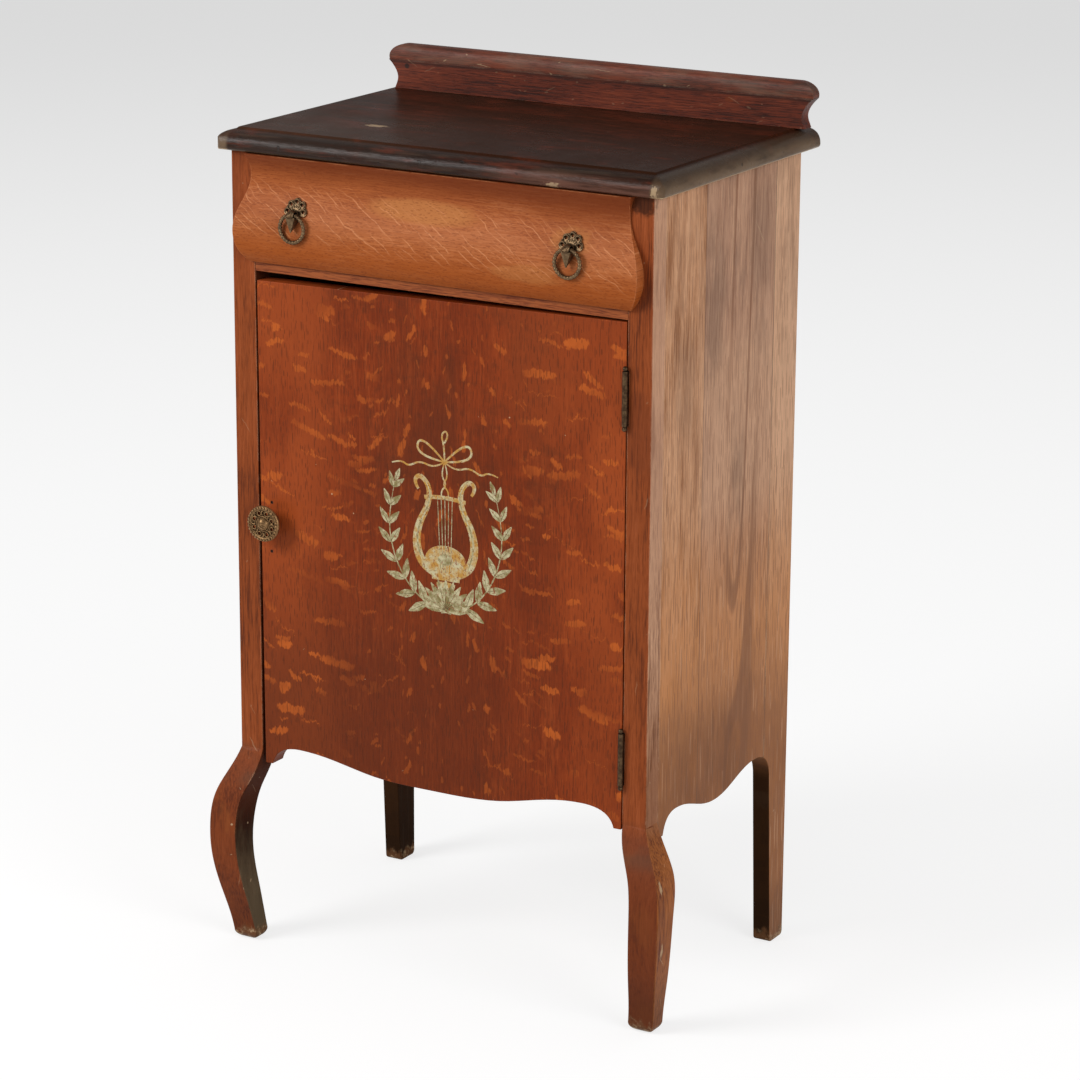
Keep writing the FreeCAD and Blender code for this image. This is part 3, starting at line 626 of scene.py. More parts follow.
def side_finish(f, oak):
    """Tan oak: golden front board, rosy middle board with arched lines, pale rear board."""
    b = f.bench
    place = f.place
    x, y, z = f.axes
    grain = f.grain(place, 0.2, 110.0)
    f.colour = f.stained(grain, oak.side_light, oak.side_mid, oak.side_dark, 0.3)
    front_seam, rear_seam = -0.045, 0.1072
    middle = y.band(0.031, 0.0755, 0.001)
    f.blend(oak.side_gold, y.step(front_seam + 0.0005, front_seam - 0.0005) * 0.3)
    f.blend(oak.side_rose, middle * 0.62)
    f.blend(oak.side_light, y.step(rear_seam - 0.0004, rear_seam + 0.0006) * 0.5)
    cloud = place.noise(26, 11, 5, 0.66)
    f.blend(oak.side_gold, z.step(0.60, 0.36) * 0.8)
    f.blend(oak.side_light, z.band(0.61, 0.05, 0.09) * y.step(-0.09, -0.02) * 0.4)
    f.blend(oak.side_low, (cloud * 0.16 + z).step(0.49, 0.30) * 0.66)
    drawn = b.joined(y + cloud * 0.006, x, z * 0.19)
    dark = (drawn.marks(7.4, 6.2, 1.0, 90, 8, 0.7)
            | drawn.marks(4.4, 3.4, 0.8, 90, 8, 0.9, 0, (0.3, 0.1)) * 0.9)
    f.blend(oak.side_light, drawn.marks(8.4, 6.4, 1.3, 90, 8, 0.6, 0, (0.6, 0.4)) * 0.3)
    f.blend(oak.side_dark, dark * (z.step(0.5, 0.75) * -0.2 + 0.6))
    arches = b.calc("SINE", place.noise(11, 0.9, 1, 0.4) * 120).step(0.55, 0.95)
    f.blend(oak.side_dark, arches * y.band(0.042, 0.022, 0.02) * middle * 0.6)
    upper = z.step(0.56, 0.78) * (middle * 0.17 + 0.10)
    smoke = place.noise(34, 12, 5, 0.68).step(0.40, 0.66) * (upper + 0.10)
    soft = cloud.step(0.28, 0.62)
    stains = (y.band(-0.028, 0.008, 0.03) * z.band(0.745, 0.04, 0.11) * middle * 0.42
              | y.band(0.075, 0.010, 0.03) * z.band(0.80, 0.03, 0.06) * 0.34
              | y.band(-0.085, 0.012, 0.02) * z.band(0.67, 0.03, 0.06) * 0.28
              | y.band(0.030, 0.006, 0.02) * z.band(0.53, 0.05, 0.09) * 0.4)
    f.blend(oak.side_stain, smoke | stains * soft)
    hem = z.band(0.245, 0.025, 0.09) * z.step(0.195, 0.215) * y.step(0.1, 0.02)
    f.blend(oak.hem, hem * soft * 0.5)
    glue = y.band(front_seam, 0.0004, 0.0006) | y.band(rear_seam, 0.0005, 0.0008)
    f.blend(oak.side_stain, glue * 0.5)
    lying = b.joined(y, x, z)
    scratch = (lying.marks(130, 20, 0.6, 80, 70, 0.4, 6, (0.2, 0.6))
               | lying.marks(100, 3, 1.2, 0, 180, 0.3, 3, (0.7, 0.2)))
    f.blend(oak.bare, scratch * 0.4)
    f.blend(oak.bare, f.wear(2.0, 0.44))
    dull = inner_shade(f, oak)
    foot_wear(f, oak)
    f.close(grain["Height"], 0.3, place.noise(10, 6, 3) * 0.2 + 0.42, gloss=dull * -0.12 + 0.13)


def inner_shade(f, oak):
    """Painted shade on faces under the case and towards its middle: dark above, paler olive near the floor.
    """
    b = f.bench
    _, y, z = f.axes
    facing = f.facing()
    under = z.step(0.24, 0.19) * y.step(0.05, 0.1) * facing[1].step(-0.3, -0.8)
    dull = f.away_from_middle(facing).step(-0.35, -0.75) | facing[1].step(0.5, 0.85) * 0.7 | under
    cloud = f.place.noise(60, 22, 5, 0.68)
    front = y.step(0.05, -0.05)
    # Tone of the painted shade: near black above, paler olive near the floor
    bare = b.mix(cloud.step(0.35, 0.7), oak.grime_and_shade, oak.dust_and_shade)
    bare = b.mix(front * z.step(0.12, 0.18) * 0.45, bare, oak.post_dark)
    bare = b.mix(front * (cloud * -0.12 + z).step(0.10, -0.04), bare, oak.dust_and_shade_low)
    # Lays the painted shade on the inward, back and under faces; the returned mask also lowers their gloss
    f.blend(bare, dull * 0.9)
    return dull


def foot_wear(f, oak):
    """Dirt on the ankles, and brown and tan bare patches at the tips of the feet."""
    level = f.place.noise(70, 46, 4, 0.65) * -0.05 + f.axes[2]
    f.blend(oak.grime_and_shade, level.step(0.06, 0.0) * 0.3)
    worn = f.bench.mix(f.place.noise(150, 150, 4, 0.7).step(0.48, 0.7), oak.tip, oak.bare)
    f.blend(worn, level.step(-0.008, -0.019) * 0.8)


def post_finish(f, oak):
    """Red-brown fronts; the outer sides are as tan as the panels down to the knees."""
    b = f.bench
    place = f.place
    x, y, z = f.axes
    grain = f.grain(place, 0.12)
    f.colour = f.stained(grain, oak.post_light, oak.post_mid, oak.post_dark, 0.25)
    f.blend(oak.post_dark, place.noise(26, 5, 4, 0.6).step(0.5, 0.72) * 0.35)
    leg = z.step(0.235, 0.205)
    right = x.step(-0.01, 0.01)
    f.blend(oak.post_dark, leg * (right * 0.22 + 0.42))
    f.blend(oak.leg_grey, z.band(0.205, 0.012, 0.016) * place.noise(30, 30, 4).step(0.35, 0.6) * 0.5)
    f.blend(oak.leg_mid, leg * place.noise(22, 13, 4, 0.6).step(0.5, 0.66) * (right * -0.33 + 0.45))
    tan = f.stained(grain, oak.side_light, oak.side_mid, oak.side_dark)
    tan = b.mix(z.step(0.36, 0.6) * 0.55, tan, oak.side_pale)
    tan = b.mix(z.step(0.42, 0.23) * 0.75, tan, oak.side_low)
    tan = b.mix(leg, tan, f.stained(grain, oak.leg_light, oak.leg_mid, oak.post_dark, 0.25))
    fade = place.noise(30, 6, 3) * 0.3 + f.away_from_middle(f.facing())
    f.blend(tan, fade.step(0.55, 0.95) * 0.88)
    dull = inner_shade(f, oak)
    chips = (place.spot((0.272, -0.166, 0.168), (12, 3, 8), 1.3)
             | place.spot((0.270, -0.166, 0.100), (16, 3, 10), 1.3))
    f.blend(oak.bare, chips * 0.7)
    lying = b.joined(x + y, y, z)
    scratch = (lying.marks(50, 12, 0.7, 75, 80, 0.4, 6, (0.1, 0.3))
               | lying.marks(40, 2, 0.9, 0, 180, 0.4, 3, (0.4, 0.8)))
    f.blend(oak.bare, scratch * (z.step(0.26, 0.12) * 0.5 + 0.2))
    # Painted shade under the top board's overhang, with some soiling, on the right post's front beside the
    # drawer
    f.blend(oak.grime_and_shade, place.spot((0.238, -0.154, 0.868), (16, 12, 14), 1.0) * 0.75)
    f.blend(oak.post_dark, place.spot((0.236, -0.154, 0.635), (30, 12, 55), 0.8) * 0.4)
    f.blend(oak.side_light, f.wear(2.5, 0.42) * (1 - z.band(leg_top, 0.003, 0.003)))
    foot_wear(f, oak)
    f.close(grain["Height"], 0.25, place.noise(12, 8, 3) * 0.2 + 0.36, gloss=dull * -0.07 + 0.08)


def top_finish(f, oak):
    """Blackened old varnish over red oak, scratched and chipped; the nose is rubbed grey, red and mauve."""
    b = f.bench
    place = f.place
    x, y, z = f.axes
    grain = f.grain(f.along_x(), 0.1)
    f.colour = f.stained(grain, oak.top_light, oak.top_mid, oak.top_dark)
    black = place.noise(6, 6, 4, 0.62) + y.step(0.05, -0.12) * 0.1
    f.blend(oak.top_dark, black.step(0.42, 0.64) * 0.8)
    f.blend(oak.top_light, f.along_x().noise(42, 16, 5, 0.7).step(0.54, 0.70) * 0.55)
    plan = b.joined(x, z, y)
    scratch = (plan.marks(70, 20, 0.5, 20, 120, 0.45, 10, (0.1, 0.4))
               | plan.marks(45, 2.2, 1, 0, 180, 0.35, 4, (0.8, 0.3)))
    f.blend(oak.worn, scratch * 0.3)
    chip = place.spot((-0.127, -0.068, top_face), (15, 6, 10), 2.2)
    f.blend(oak.bare, chip * 0.6)
    f.blend(oak.worn, x.step(0.08, -0.22) * y.step(0.12, -0.14) * black.step(0.34, 0.6) * 0.11)
    nose = z.step(top_face - 0.0012, top_face - 0.004)
    f.blend(oak.grime_and_shade, nose * 0.6)
    ends = nose * abs(x).step(top_high.x - 0.017, top_high.x - 0.012)
    streaked = place.noise((9, 90), 120, 4, 0.65)
    f.blend(oak.worn, nose * streaked.step(0.5, 0.66) * (ends * -0.12 + 0.12))
    fall = z.step(top_face - 0.003, top_low.z + 0.004) * 0.56 + 0.16
    f.blend(oak.rim, ends * fall * place.noise((40, 16), 60, 4, 0.6).step(0.15, 0.6))
    f.blend(oak.bare, (ends * 0.65 + 0.1) * z.band(top_low.z + 0.0011, 0.0004, 0.0007))
    ruddy = place.noise((14, 40), 140, 4, 0.65).step(0.5, 0.64)
    f.blend(oak.top_light, nose * ruddy * (ends * -0.6 + 0.6))
    rubbed = z.step(top_face - 0.005, top_face - 0.012) * x.step(0.03, 0.16)
    f.blend(oak.mauve, rubbed * (1 - ends) * (streaked.step(0.4, 0.6) * 0.55 + 0.2))
    bites = (place.spot((0.140, top_low.y, top_low.z + 0.002), (9, 6, 4), 2.8)
             | place.spot((0.254, top_low.y, top_low.z + 0.006), (4, 6, 7), 2.8))
    f.blend(oak.bare, bites * 0.55)
    dents = b.joined(x + y, y, z).marks(30, 4, 1.6, 10, 120, 0.35, 3, (0.2, 0.5)) * nose
    f.blend(oak.grime_and_shade, dents * 0.7)
    f.blend(oak.worn, f.wear(1.6, 0.5))
    f.close(grain["Height"] - (dents * 3 | chip), 0.3, place.noise(16, 16, 4, 0.6) * 0.30 + 0.15,
            gloss=nose * (x.step(-0.05, 0.2) * -0.07 + 0.14) + 0.010)


def gallery_finish(f, oak):
    """Dark red-brown rail: a greyer lip, an old plug at the left, a scar at the right and a back darkened
    with painted shade.
    """
    place = f.place
    z = f.axes[2]
    low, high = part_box("gallery")
    grain = f.grain(f.along_x(), 0.15)
    f.colour = f.stained(grain, oak.gallery_light, oak.gallery_mid, oak.gallery_dark)
    lip = z.step(high.z - 0.019, high.z - 0.015)
    f.blend(oak.worn, lip * (place.noise(14, 70, 4, 0.65).step(0.42, 0.66) * 0.28 + 0.08))
    # Painted shade in the quirk under the lip
    f.blend(oak.grime_and_shade, z.band(high.z - 0.0185, 0.0004, 0.0025) * 0.6)
    f.blend(oak.grime_and_shade, place.spot((-0.2275, low.y, low.z + 0.0254), (3.6, 10, 3.6), 0.3) * 0.8)
    f.blend(oak.drawer_dark, place.spot((0.171, low.y, low.z + 0.0239), (6, 10, 4), 1.1) * 0.6)
    specks = (place.marks(20, 3, 0.9, 0, 60, 0.5, 3, (0.3, 0.1))
              | place.marks(50, 12, 0.6, 10, 80, 0.4, 4, (0.6, 0.6)))
    f.blend(oak.bare, specks * (lip * 0.4 + 0.12))
    f.blend(oak.worn, f.wear(2.0, 0.45))
    # Painted shade on the back face
    f.blend(oak.grime_and_shade, f.facing()[1].step(0.5, 0.85) * 0.55)
    f.close(grain["Height"], 0.25, place.noise(16, 30, 4, 0.6) * 0.24 + 0.36)


def rail_finish(f, oak):
    """Narrow rail under the drawer: honey face with a dark lower edge, from painted shade with some soiling
    where it meets the parts round it.
    """
    grain = f.grain(f.along_x())
    f.colour = f.stained(grain, oak.drawer_mid, oak.drawer_fibre, oak.drawer_dark)
    # Painted shade, with some soiling, where the rail meets the parts round it
    f.blend(oak.grime_and_shade, f.shade_and_dirt(8) * 0.4)
    f.close(grain["Height"], 0.25, f.place.noise(12, 12, 3) * 0.2 + 0.42)


def inside_finish(f, oak, across):
    """Unpolished inside boards, a little stained, with painted shade and some soiling in the corners."""
    grain = f.grain(f.along_x() if across else f.place, 0.35, 90.0)
    f.colour = f.stained(grain, oak.inside_light, oak.inside_mid, oak.inside_dark, 0.35)
    f.blend(oak.inside_dark, f.place.noise(8, 8, 4, 0.6).step(0.48, 0.75) * 0.4)
    # Painted shade in the corners, with some soiling
    f.blend(oak.grime_and_shade, f.shade_and_dirt(15) * 0.5)
    f.close(grain["Height"], 0.35, f.place.noise(14, 14, 3) * 0.2 + 0.6)


def metal_finish(f, oak, kind):
    """Old cast metal in the three tones of its kind."""
    tones = settings().metal
    metal = f.bench.group("Old Metal", {
        "Vector": f.place, "Bright": getattr(tones, kind + "_bright"),
        "Body": getattr(tones, kind + "_body"), "Dark": getattr(tones, kind + "_dark")})
    f.colour = metal["Color"]
    f.close(metal["Height"], 0.15, metal["Rough"], strength=0.5, metal=0.85)


def print_finish(f, oak, main, shaded, hatch_turn):
    """Old transfer print: ink with fine hatching, rubbed through to the wood in flecks."""
    inks = settings().print
    place = f.place
    cloud = place.noise(110, 110, 3, 0.6)
    f.colour = f.bench.mix(cloud.step(0.38, 0.66), getattr(inks, main), getattr(inks, shaded))
    f.blend(inks.ink, place.marks(6, 3.4, 0.3, hatch_turn, 30, 0.8, 1) * 0.55)
    rub = (place.noise(420, 420, 3, 0.7).step(0.57, 0.63)
           | place.marks(12, 4, 0.7, 88, 40, 0.5, 2, (0.4, 0.1)))
    f.blend(oak.door_mid, rub * 0.85)
    f.close(rub, 0.05, cloud * 0.15 + 0.42)


# Each finish: the name of its material, its maker and what the maker is told
FINISHES = {
    "door": ("door_oak", door_finish),
    "drawer": ("drawer_oak", drawer_finish),
    "side": ("side_oak", side_finish),
    "post": ("post_oak", post_finish),
    "top": ("top_oak", top_finish),
    "gallery": ("gallery_oak", gallery_finish),
    "rail": ("rail_oak", rail_finish),
    "inside": ("inside_wood", inside_finish, False),
    "inside_across": ("inside_wood_across", inside_finish, True),
    "brass": ("old_brass", metal_finish, "brass"),
    "knob": ("knob_brass", metal_finish, "knob"),
    "bronze": ("dark_bronze", metal_finish, "bronze"),
    "cream": ("print_cream", print_finish, "cream", "olive", 35),
    "ochre": ("print_ochre", print_finish, "ochre", "cream", -30),
    "ink": ("print_ink", print_finish, "ink", "olive", 10),
    "olive": ("print_olive", print_finish, "olive", "cream", 60),
}
made_finishes = {}


def finish(name):
    """The material of that finish, made the first time that it is asked for."""
    if name not in made_finishes:
        material, maker, *told = FINISHES[name]
        f = Finish(material)
        maker(f, settings().oak, *told)
        made_finishes[name] = f.material
    return made_finishes[name]


# Pieces

def new_piece(name, shell, material, body, smooth=True):
    """Object at the origin with the shell as its mesh, riding on a body."""
    mesh = bpy.data.meshes.new(name)
    shell.to_mesh(mesh)
    shell.free()
    mesh.polygons.foreach_set("use_smooth", [smooth] * len(mesh.polygons))
    mesh.materials.append(finish(material))
    piece = bpy.data.objects.new(name, mesh)
    bpy.context.scene.collection.objects.link(piece)
    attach(piece, body)
    return piece


def cast_piece(name, shell, body, material="brass", smooth=True):
    """Piece of old brass; its faces are turned outwards first."""
    bmesh.ops.recalc_face_normals(shell, faces=shell.faces)
    return new_piece(name, shell, material, body, smooth)


def coat(material, *names):
    """Gives CAD nodes their finish."""
    for name in names:
        mesh = nodes[name].data
        mesh.materials.clear()
        mesh.materials.append(finish(material))


def soften(shell, edges, width):
    bmesh.ops.bevel(shell, geom=edges, offset=width, offset_type="OFFSET", segments=2, profile=0.5,
                    affect="EDGES", material=-1, clamp_overlap=True)


def eased_board(node, material, arris, flush_y=(), flush_z=()):
    """Copy of a board with rubbed arrises; edges in a flush joint stay sharp."""
    weld = 0.002 * MM
    flush = 0.1 * MM
    straight = math.radians(0.3)
    corner = math.radians(32)
    crease = math.radians(50)
    shell = bmesh.new()
    shell.from_mesh(nodes[node].data)
    bmesh.ops.remove_doubles(shell, verts=shell.verts, dist=weld)
    bmesh.ops.dissolve_limit(shell, angle_limit=straight, verts=shell.verts, edges=shell.edges)

    def in_joint(edge):
        ends = [vert.co for vert in edge.verts]
        return (any(all(abs(end.y - level) < flush for end in ends) for level in flush_y)
                or any(all(abs(end.z - level) < flush for end in ends) for level in flush_z))

    soften(shell, [edge for edge in shell.edges if edge.is_manifold and edge.is_convex
                   and edge.calc_face_angle() > corner and not in_joint(edge)], arris)
    for edge in shell.edges:
        edge.smooth = not (edge.is_manifold and edge.calc_face_angle() > crease)
    piece = new_piece("oak_" + node, shell, material, nodes[node]["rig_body"])
    normals = piece.modifiers.new("flat faces stay flat", "WEIGHTED_NORMAL")
    normals.weight = 100
    normals.keep_sharp = True
    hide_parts(node)


def outward(centre):
    """Turns a shape that was modelled lying flat so that its z points out of the front."""
    return Matrix.Translation(centre) @ Matrix.Rotation(math.radians(90), 4, "X")


def turned(degrees):
    return Matrix.Rotation(math.radians(degrees), 4, "Z")


def moved(*millimetres):
    return Matrix.Translation(Vector(millimetres) * MM)


def mm(*items):
    """Lengths or points that are given in millimetres."""
    return [Vector(item) * MM if isinstance(item, tuple) else item * MM for item in items]


def spun(shell, geom, steps):
    """Spins a profile a full turn round z."""
    bmesh.ops.spin(shell, geom=geom, cent=(0, 0, 0), axis=(0, 0, 1), angle=math.radians(360), steps=steps,
                   use_merge=True)


def ring_shell(shell, radius, wire, matrix, around=24, section=8):
    """Adds a closed ring that lies flat before the matrix places it."""
    made = bmesh.ops.create_circle(shell, segments=section, radius=wire,
                                   matrix=outward((radius, 0, 0)))["verts"]
    edges = list({edge for vert in made for edge in vert.link_edges})
    before = set(shell.verts)
    spun(shell, made + edges, around)
    verts = made + [vert for vert in shell.verts if vert not in before]
    bmesh.ops.transform(shell, matrix=matrix, verts=verts)
    return verts


def line_shell(shell, points, radii, matrix=Matrix.Identity(4), closed=False, fine=6):
    """Adds a round rod along a smooth line through points, which may leave out their z."""
    curve = bpy.data.curves.new("line", "CURVE")
    curve.dimensions = "3D"
    curve.bevel_depth = 1.0
    curve.bevel_resolution = 2
    curve.resolution_u = fine
    curve.use_fill_caps = True
    spline = curve.splines.new("NURBS")
    spline.points.add(len(points) - 1)
    for knot, at, radius in zip(spline.points, points, radii):
        knot.co = (*at.to_3d(), 1.0)
        knot.radius = radius
    spline.order_u = 3
    spline.use_cyclic_u = closed
    spline.use_endpoint_u = not closed
    holder = bpy.data.objects.new("line", curve)
    mesh = bpy.data.meshes.new_from_object(holder)
    before = set(shell.verts)
    shell.from_mesh(mesh)
    added = [vert for vert in shell.verts if vert not in before]
    bmesh.ops.remove_doubles(shell, verts=added, dist=0.0005 * MM)
    added = [vert for vert in shell.verts if vert not in before]
    bmesh.ops.transform(shell, matrix=matrix, verts=added)
    bpy.data.objects.remove(holder)
    bpy.data.curves.remove(curve)
    bpy.data.meshes.remove(mesh)


def ball_shell(shell, radius, matrix, around=10, rows=7):
    bmesh.ops.create_uvsphere(shell, u_segments=around, v_segments=rows, radius=radius, matrix=matrix)


class CABINET_OT_case(bpy.types.Operator):
    """Top, gallery, posts, legs, sides and the boards inside"""
    bl_idname = "cabinet.case"
    bl_label = "Case"

    def execute(self, context):
        arris = settings().sizes.arris
        joint_y = (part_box("front_post_left")[1].y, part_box("rear_post_left")[0].y)
        under_top = (top_low.z,)
        eased_board("top_board", "top", arris * 0.6)
        eased_board("gallery", "gallery", arris * 0.6)
        for side in SIDES:
            eased_board("front_post_" + side, "post", arris, joint_y, (leg_top, top_low.z))
            eased_board("front_leg_" + side, "post", arris * 1.6, (), (leg_top,))
            eased_board("side_panel_" + side, "side", arris, joint_y, under_top)
            eased_board("rear_post_" + side, "side", arris, joint_y, under_top)
            coat("inside", "drawer_runner_" + side, "top_cleat_" + side)
        eased_board("drawer_rail", "rail", arris * 0.7)
        for board in ("bottom_board", "shelf_1", "shelf_2", "shelf_3", "shelf_4"):
            eased_board(board, "inside_across", arris * 0.7)
        coat("inside", "back_panel", "leg_dowels")
        return {"FINISHED"}


class CABINET_OT_door(bpy.types.Operator):
    """Door board"""
    bl_idname = "cabinet.door"
    bl_label = "Door"

    def execute(self, context):
        eased_board("door_panel", "door", settings().sizes.arris)
        return {"FINISHED"}


class CABINET_OT_drawer(bpy.types.Operator):
    """Drawer front and drawer box"""
    bl_idname = "cabinet.drawer"
    bl_label = "Drawer"

    def execute(self, context):
        eased_board("drawer_front", "drawer", settings().sizes.arris)
        coat("inside", "drawer_side_left", "drawer_side_right")
        coat("inside_across", "drawer_back", "drawer_bottom")
        return {"FINISHED"}


class CABINET_OT_hinges(bpy.types.Operator):
    """Dark hinges with ball tips, and the catch and nuts inside"""
    bl_idname = "cabinet.hinges"
    bl_label = "Hinges and catch"

    def execute(self, context):
        for hinge in ("hinge_upper_", "hinge_lower_"):
            coat("bronze", hinge + "post_leaf", hinge + "door_leaf", hinge + "pin")
        coat("bronze", "catch_tongue", "pull_nuts")
        return {"FINISHED"}


class CABINET_OT_knob(bpy.types.Operator):
    """Pierced knob with a beaded rim and scrolls"""
    bl_idname = "cabinet.knob"
    bl_label = "Knob"

    def execute(self, context):
        sizes = settings().sizes
        coat("knob", "knob_disc", "knob_stem")
        stand = 18.5 * MM
        radius = (knob_high.x - knob_low.x) / 2
        middle = (knob_low + knob_high) / 2
        place = outward((middle.x, door_face - stand, middle.z))
        shell = bmesh.new()
        bead_seat = moved(radius / MM - 1.9, 0, 1.3)
        for i in range(sizes.bead_count):
            ball_shell(shell, sizes.bead, place @ turned(360 * i / sizes.bead_count) @ bead_seat, 8, 6)
        rim, collar, hole = mm(radius / MM - 4.2, 7.9, 2.35)
        ring_shell(shell, rim, 0.7 * MM, place, 48)
        ring_shell(shell, collar, 0.8 * MM, place, 32)
        hole_seat = moved(11.9, 0, 0.3)
        scroll = mm((9.0, 0.0, 0.6), (11.0, 1.3, 0.8), (13.2, 1.2, 0.8), (14.4, -0.2, 0.7),
                    (13.2, -1.1, 0.6))
        for i in range(8):
            ring_shell(shell, hole, 0.55 * MM, place @ turned(45 * (i + 0.5)) @ hole_seat, 16, 6)
            line_shell(shell, scroll, mm(0.55, 0.7, 0.65, 0.5, 0.3), place @ turned(45 * i), fine=3)
        petal = mm((1.2, 0.0, 5.6), (3.4, 1.7, 4.7), (5.8, 1.5, 2.6), (6.6, 0.0, 1.5), (5.8, -1.5, 2.6),
                   (3.4, -1.7, 4.7))
        for i in range(4):
            line_shell(shell, petal, [0.55 * MM] * len(petal), place @ turned(90 * i + 45), closed=True,
                       fine=3)
        cast_piece("knob_beading", shell, "knob", "knob")
        return {"FINISHED"}


class CABINET_OT_pulls(bpy.types.Operator):
    """Drop ring pulls: fan plates, pointed posts and notched rings"""
    bl_idname = "cabinet.pulls"
    bl_label = "Ring pulls"

    def execute(self, context):
        for side in SIDES:
            self.ring(side)
            self.plate(side)
            self.post(side)
        return {"FINISHED"}

    def ring(self, side):
        sizes = settings().sizes
        node = "ring_" + side
        low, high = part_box(node)
        wire = (high.y - low.y) / 2
        radius = (high.x - low.x) / 2 - wire
        shell = bmesh.new()
        for vert in ring_shell(shell, radius, wire, Matrix.Identity(4), sizes.notch_count * 5, 12):
            turn = math.atan2(vert.co.y, vert.co.x)
            spine = Vector((math.cos(turn), math.sin(turn), 0)) * radius
            groove = (0.5 - 0.5 * math.cos(turn * sizes.notch_count)) ** 3
            vert.co = spine + (vert.co - spine) * (1.0 - sizes.notch * groove)
        bmesh.ops.transform(shell, matrix=outward((low + high) / 2), verts=shell.verts)
        piece = cast_piece("notched_ring_" + side, shell, side + "_ring")
        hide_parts(node)

    def ring_axis(self, side):
        """Height at which the ring hangs in its post."""
        ring_wire = 2.2 * MM
        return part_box("ring_" + side)[1].z - ring_wire

    def plate(self, side):
        node = "pull_plate_" + side
        coat("brass", node)
        low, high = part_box(node)
        x = (low.x + high.x) / 2
        z = self.ring_axis(side)
        plate_face, fan_rise, rib_rise = mm(1.6, 2.1, 1.5)
        lobe_reach, tip_reach, gap_reach = mm(9.5, 12.92, 11.2)
        front = bmesh.new()
        front.from_mesh(nodes["drawer_front"].data)
        surface = BVHTree.FromBMesh(front)
        shell = bmesh.new()

        def seat(degrees, radius, rise, lift):
            """Place on the plate at an angle and a radius round the fan's middle."""
            at = Vector((x + radius * math.cos(math.radians(degrees)), low.y - 0.05,
                         z + rise + radius * math.sin(math.radians(degrees))))
            hit = surface.ray_cast(at, Vector((0, 1, 0)))[0]
            return outward((at.x, hit.y - plate_face - lift, at.z))

        for i in range(5):
            ring_shell(shell, 3.0 * MM, 0.9 * MM, seat(45 * i, lobe_reach, fan_rise, 0.1 * MM), 20)
            ball_shell(shell, 1.1 * MM, seat(45 * i, tip_reach, fan_rise, 0.2 * MM))
        for i in range(4):
            ball_shell(shell, 1.3 * MM, seat(22.5 + 45 * i, gap_reach, fan_rise, 0.3 * MM))
        for i in range(7):
            rib = [seat(15 + 25 * i, radius, rib_rise, 0.2 * MM) for radius in mm(4.5, 6.0, 7.6)]
            line_shell(shell, [at.translation for at in rib], mm(0.5, 0.75, 0.5), fine=3)
        front.free()
        cast_piece("pull_crest_" + side, shell, "drawer")

    def post(self, side):
        node = "pull_post_" + side
        coat("brass", node)
        low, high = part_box(node)
        x = (low.x + high.x) / 2
        axis = self.ring_axis(side)
        shell = bmesh.new()
        profile = [shell.verts.new((r * MM, 0, z * MM)) for r, z in (
            (3.4, 0.0), (3.6, 0.8), (2.9, 1.6), (3.3, 2.0), (3.1, 2.7), (0.4, 6.4), (0.0, 6.9))]
        spun(shell, profile + [shell.edges.new(pair) for pair in zip(profile[:-1], profile[1:])], 8)
        bmesh.ops.remove_doubles(shell, verts=shell.verts, dist=0.01 * MM)
        bmesh.ops.transform(shell, matrix=outward((x, low.y + 1.0 * MM, axis)), verts=shell.verts)
        cast_piece("pull_finial_" + side, shell, "drawer", smooth=False)
        drop = bmesh.new()
        tip = Vector((x, low.y + 2.4 * MM, axis - 18.3 * MM))
        root = Vector((x, low.y + 6.6 * MM, axis - 3.8 * MM))
        aim = (tip - root).to_track_quat("Z", "X").to_matrix().to_4x4()
        bmesh.ops.create_cone(drop, cap_ends=True, segments=4, radius1=8.0 * MM, radius2=0.8 * MM,
                              depth=(tip - root).length,
                              matrix=Matrix.Translation((tip + root) / 2) @ aim @ turned(45))
        soften(drop, drop.edges, 0.5 * MM)
        cast_piece("pull_drop_" + side, drop, "drawer", smooth=False)


def mirrored(way, *points):
    """Points in millimetres, as drawn for the right half or turned over to the left."""
    return [Vector((way * x, y)) * MM for x, y in points]


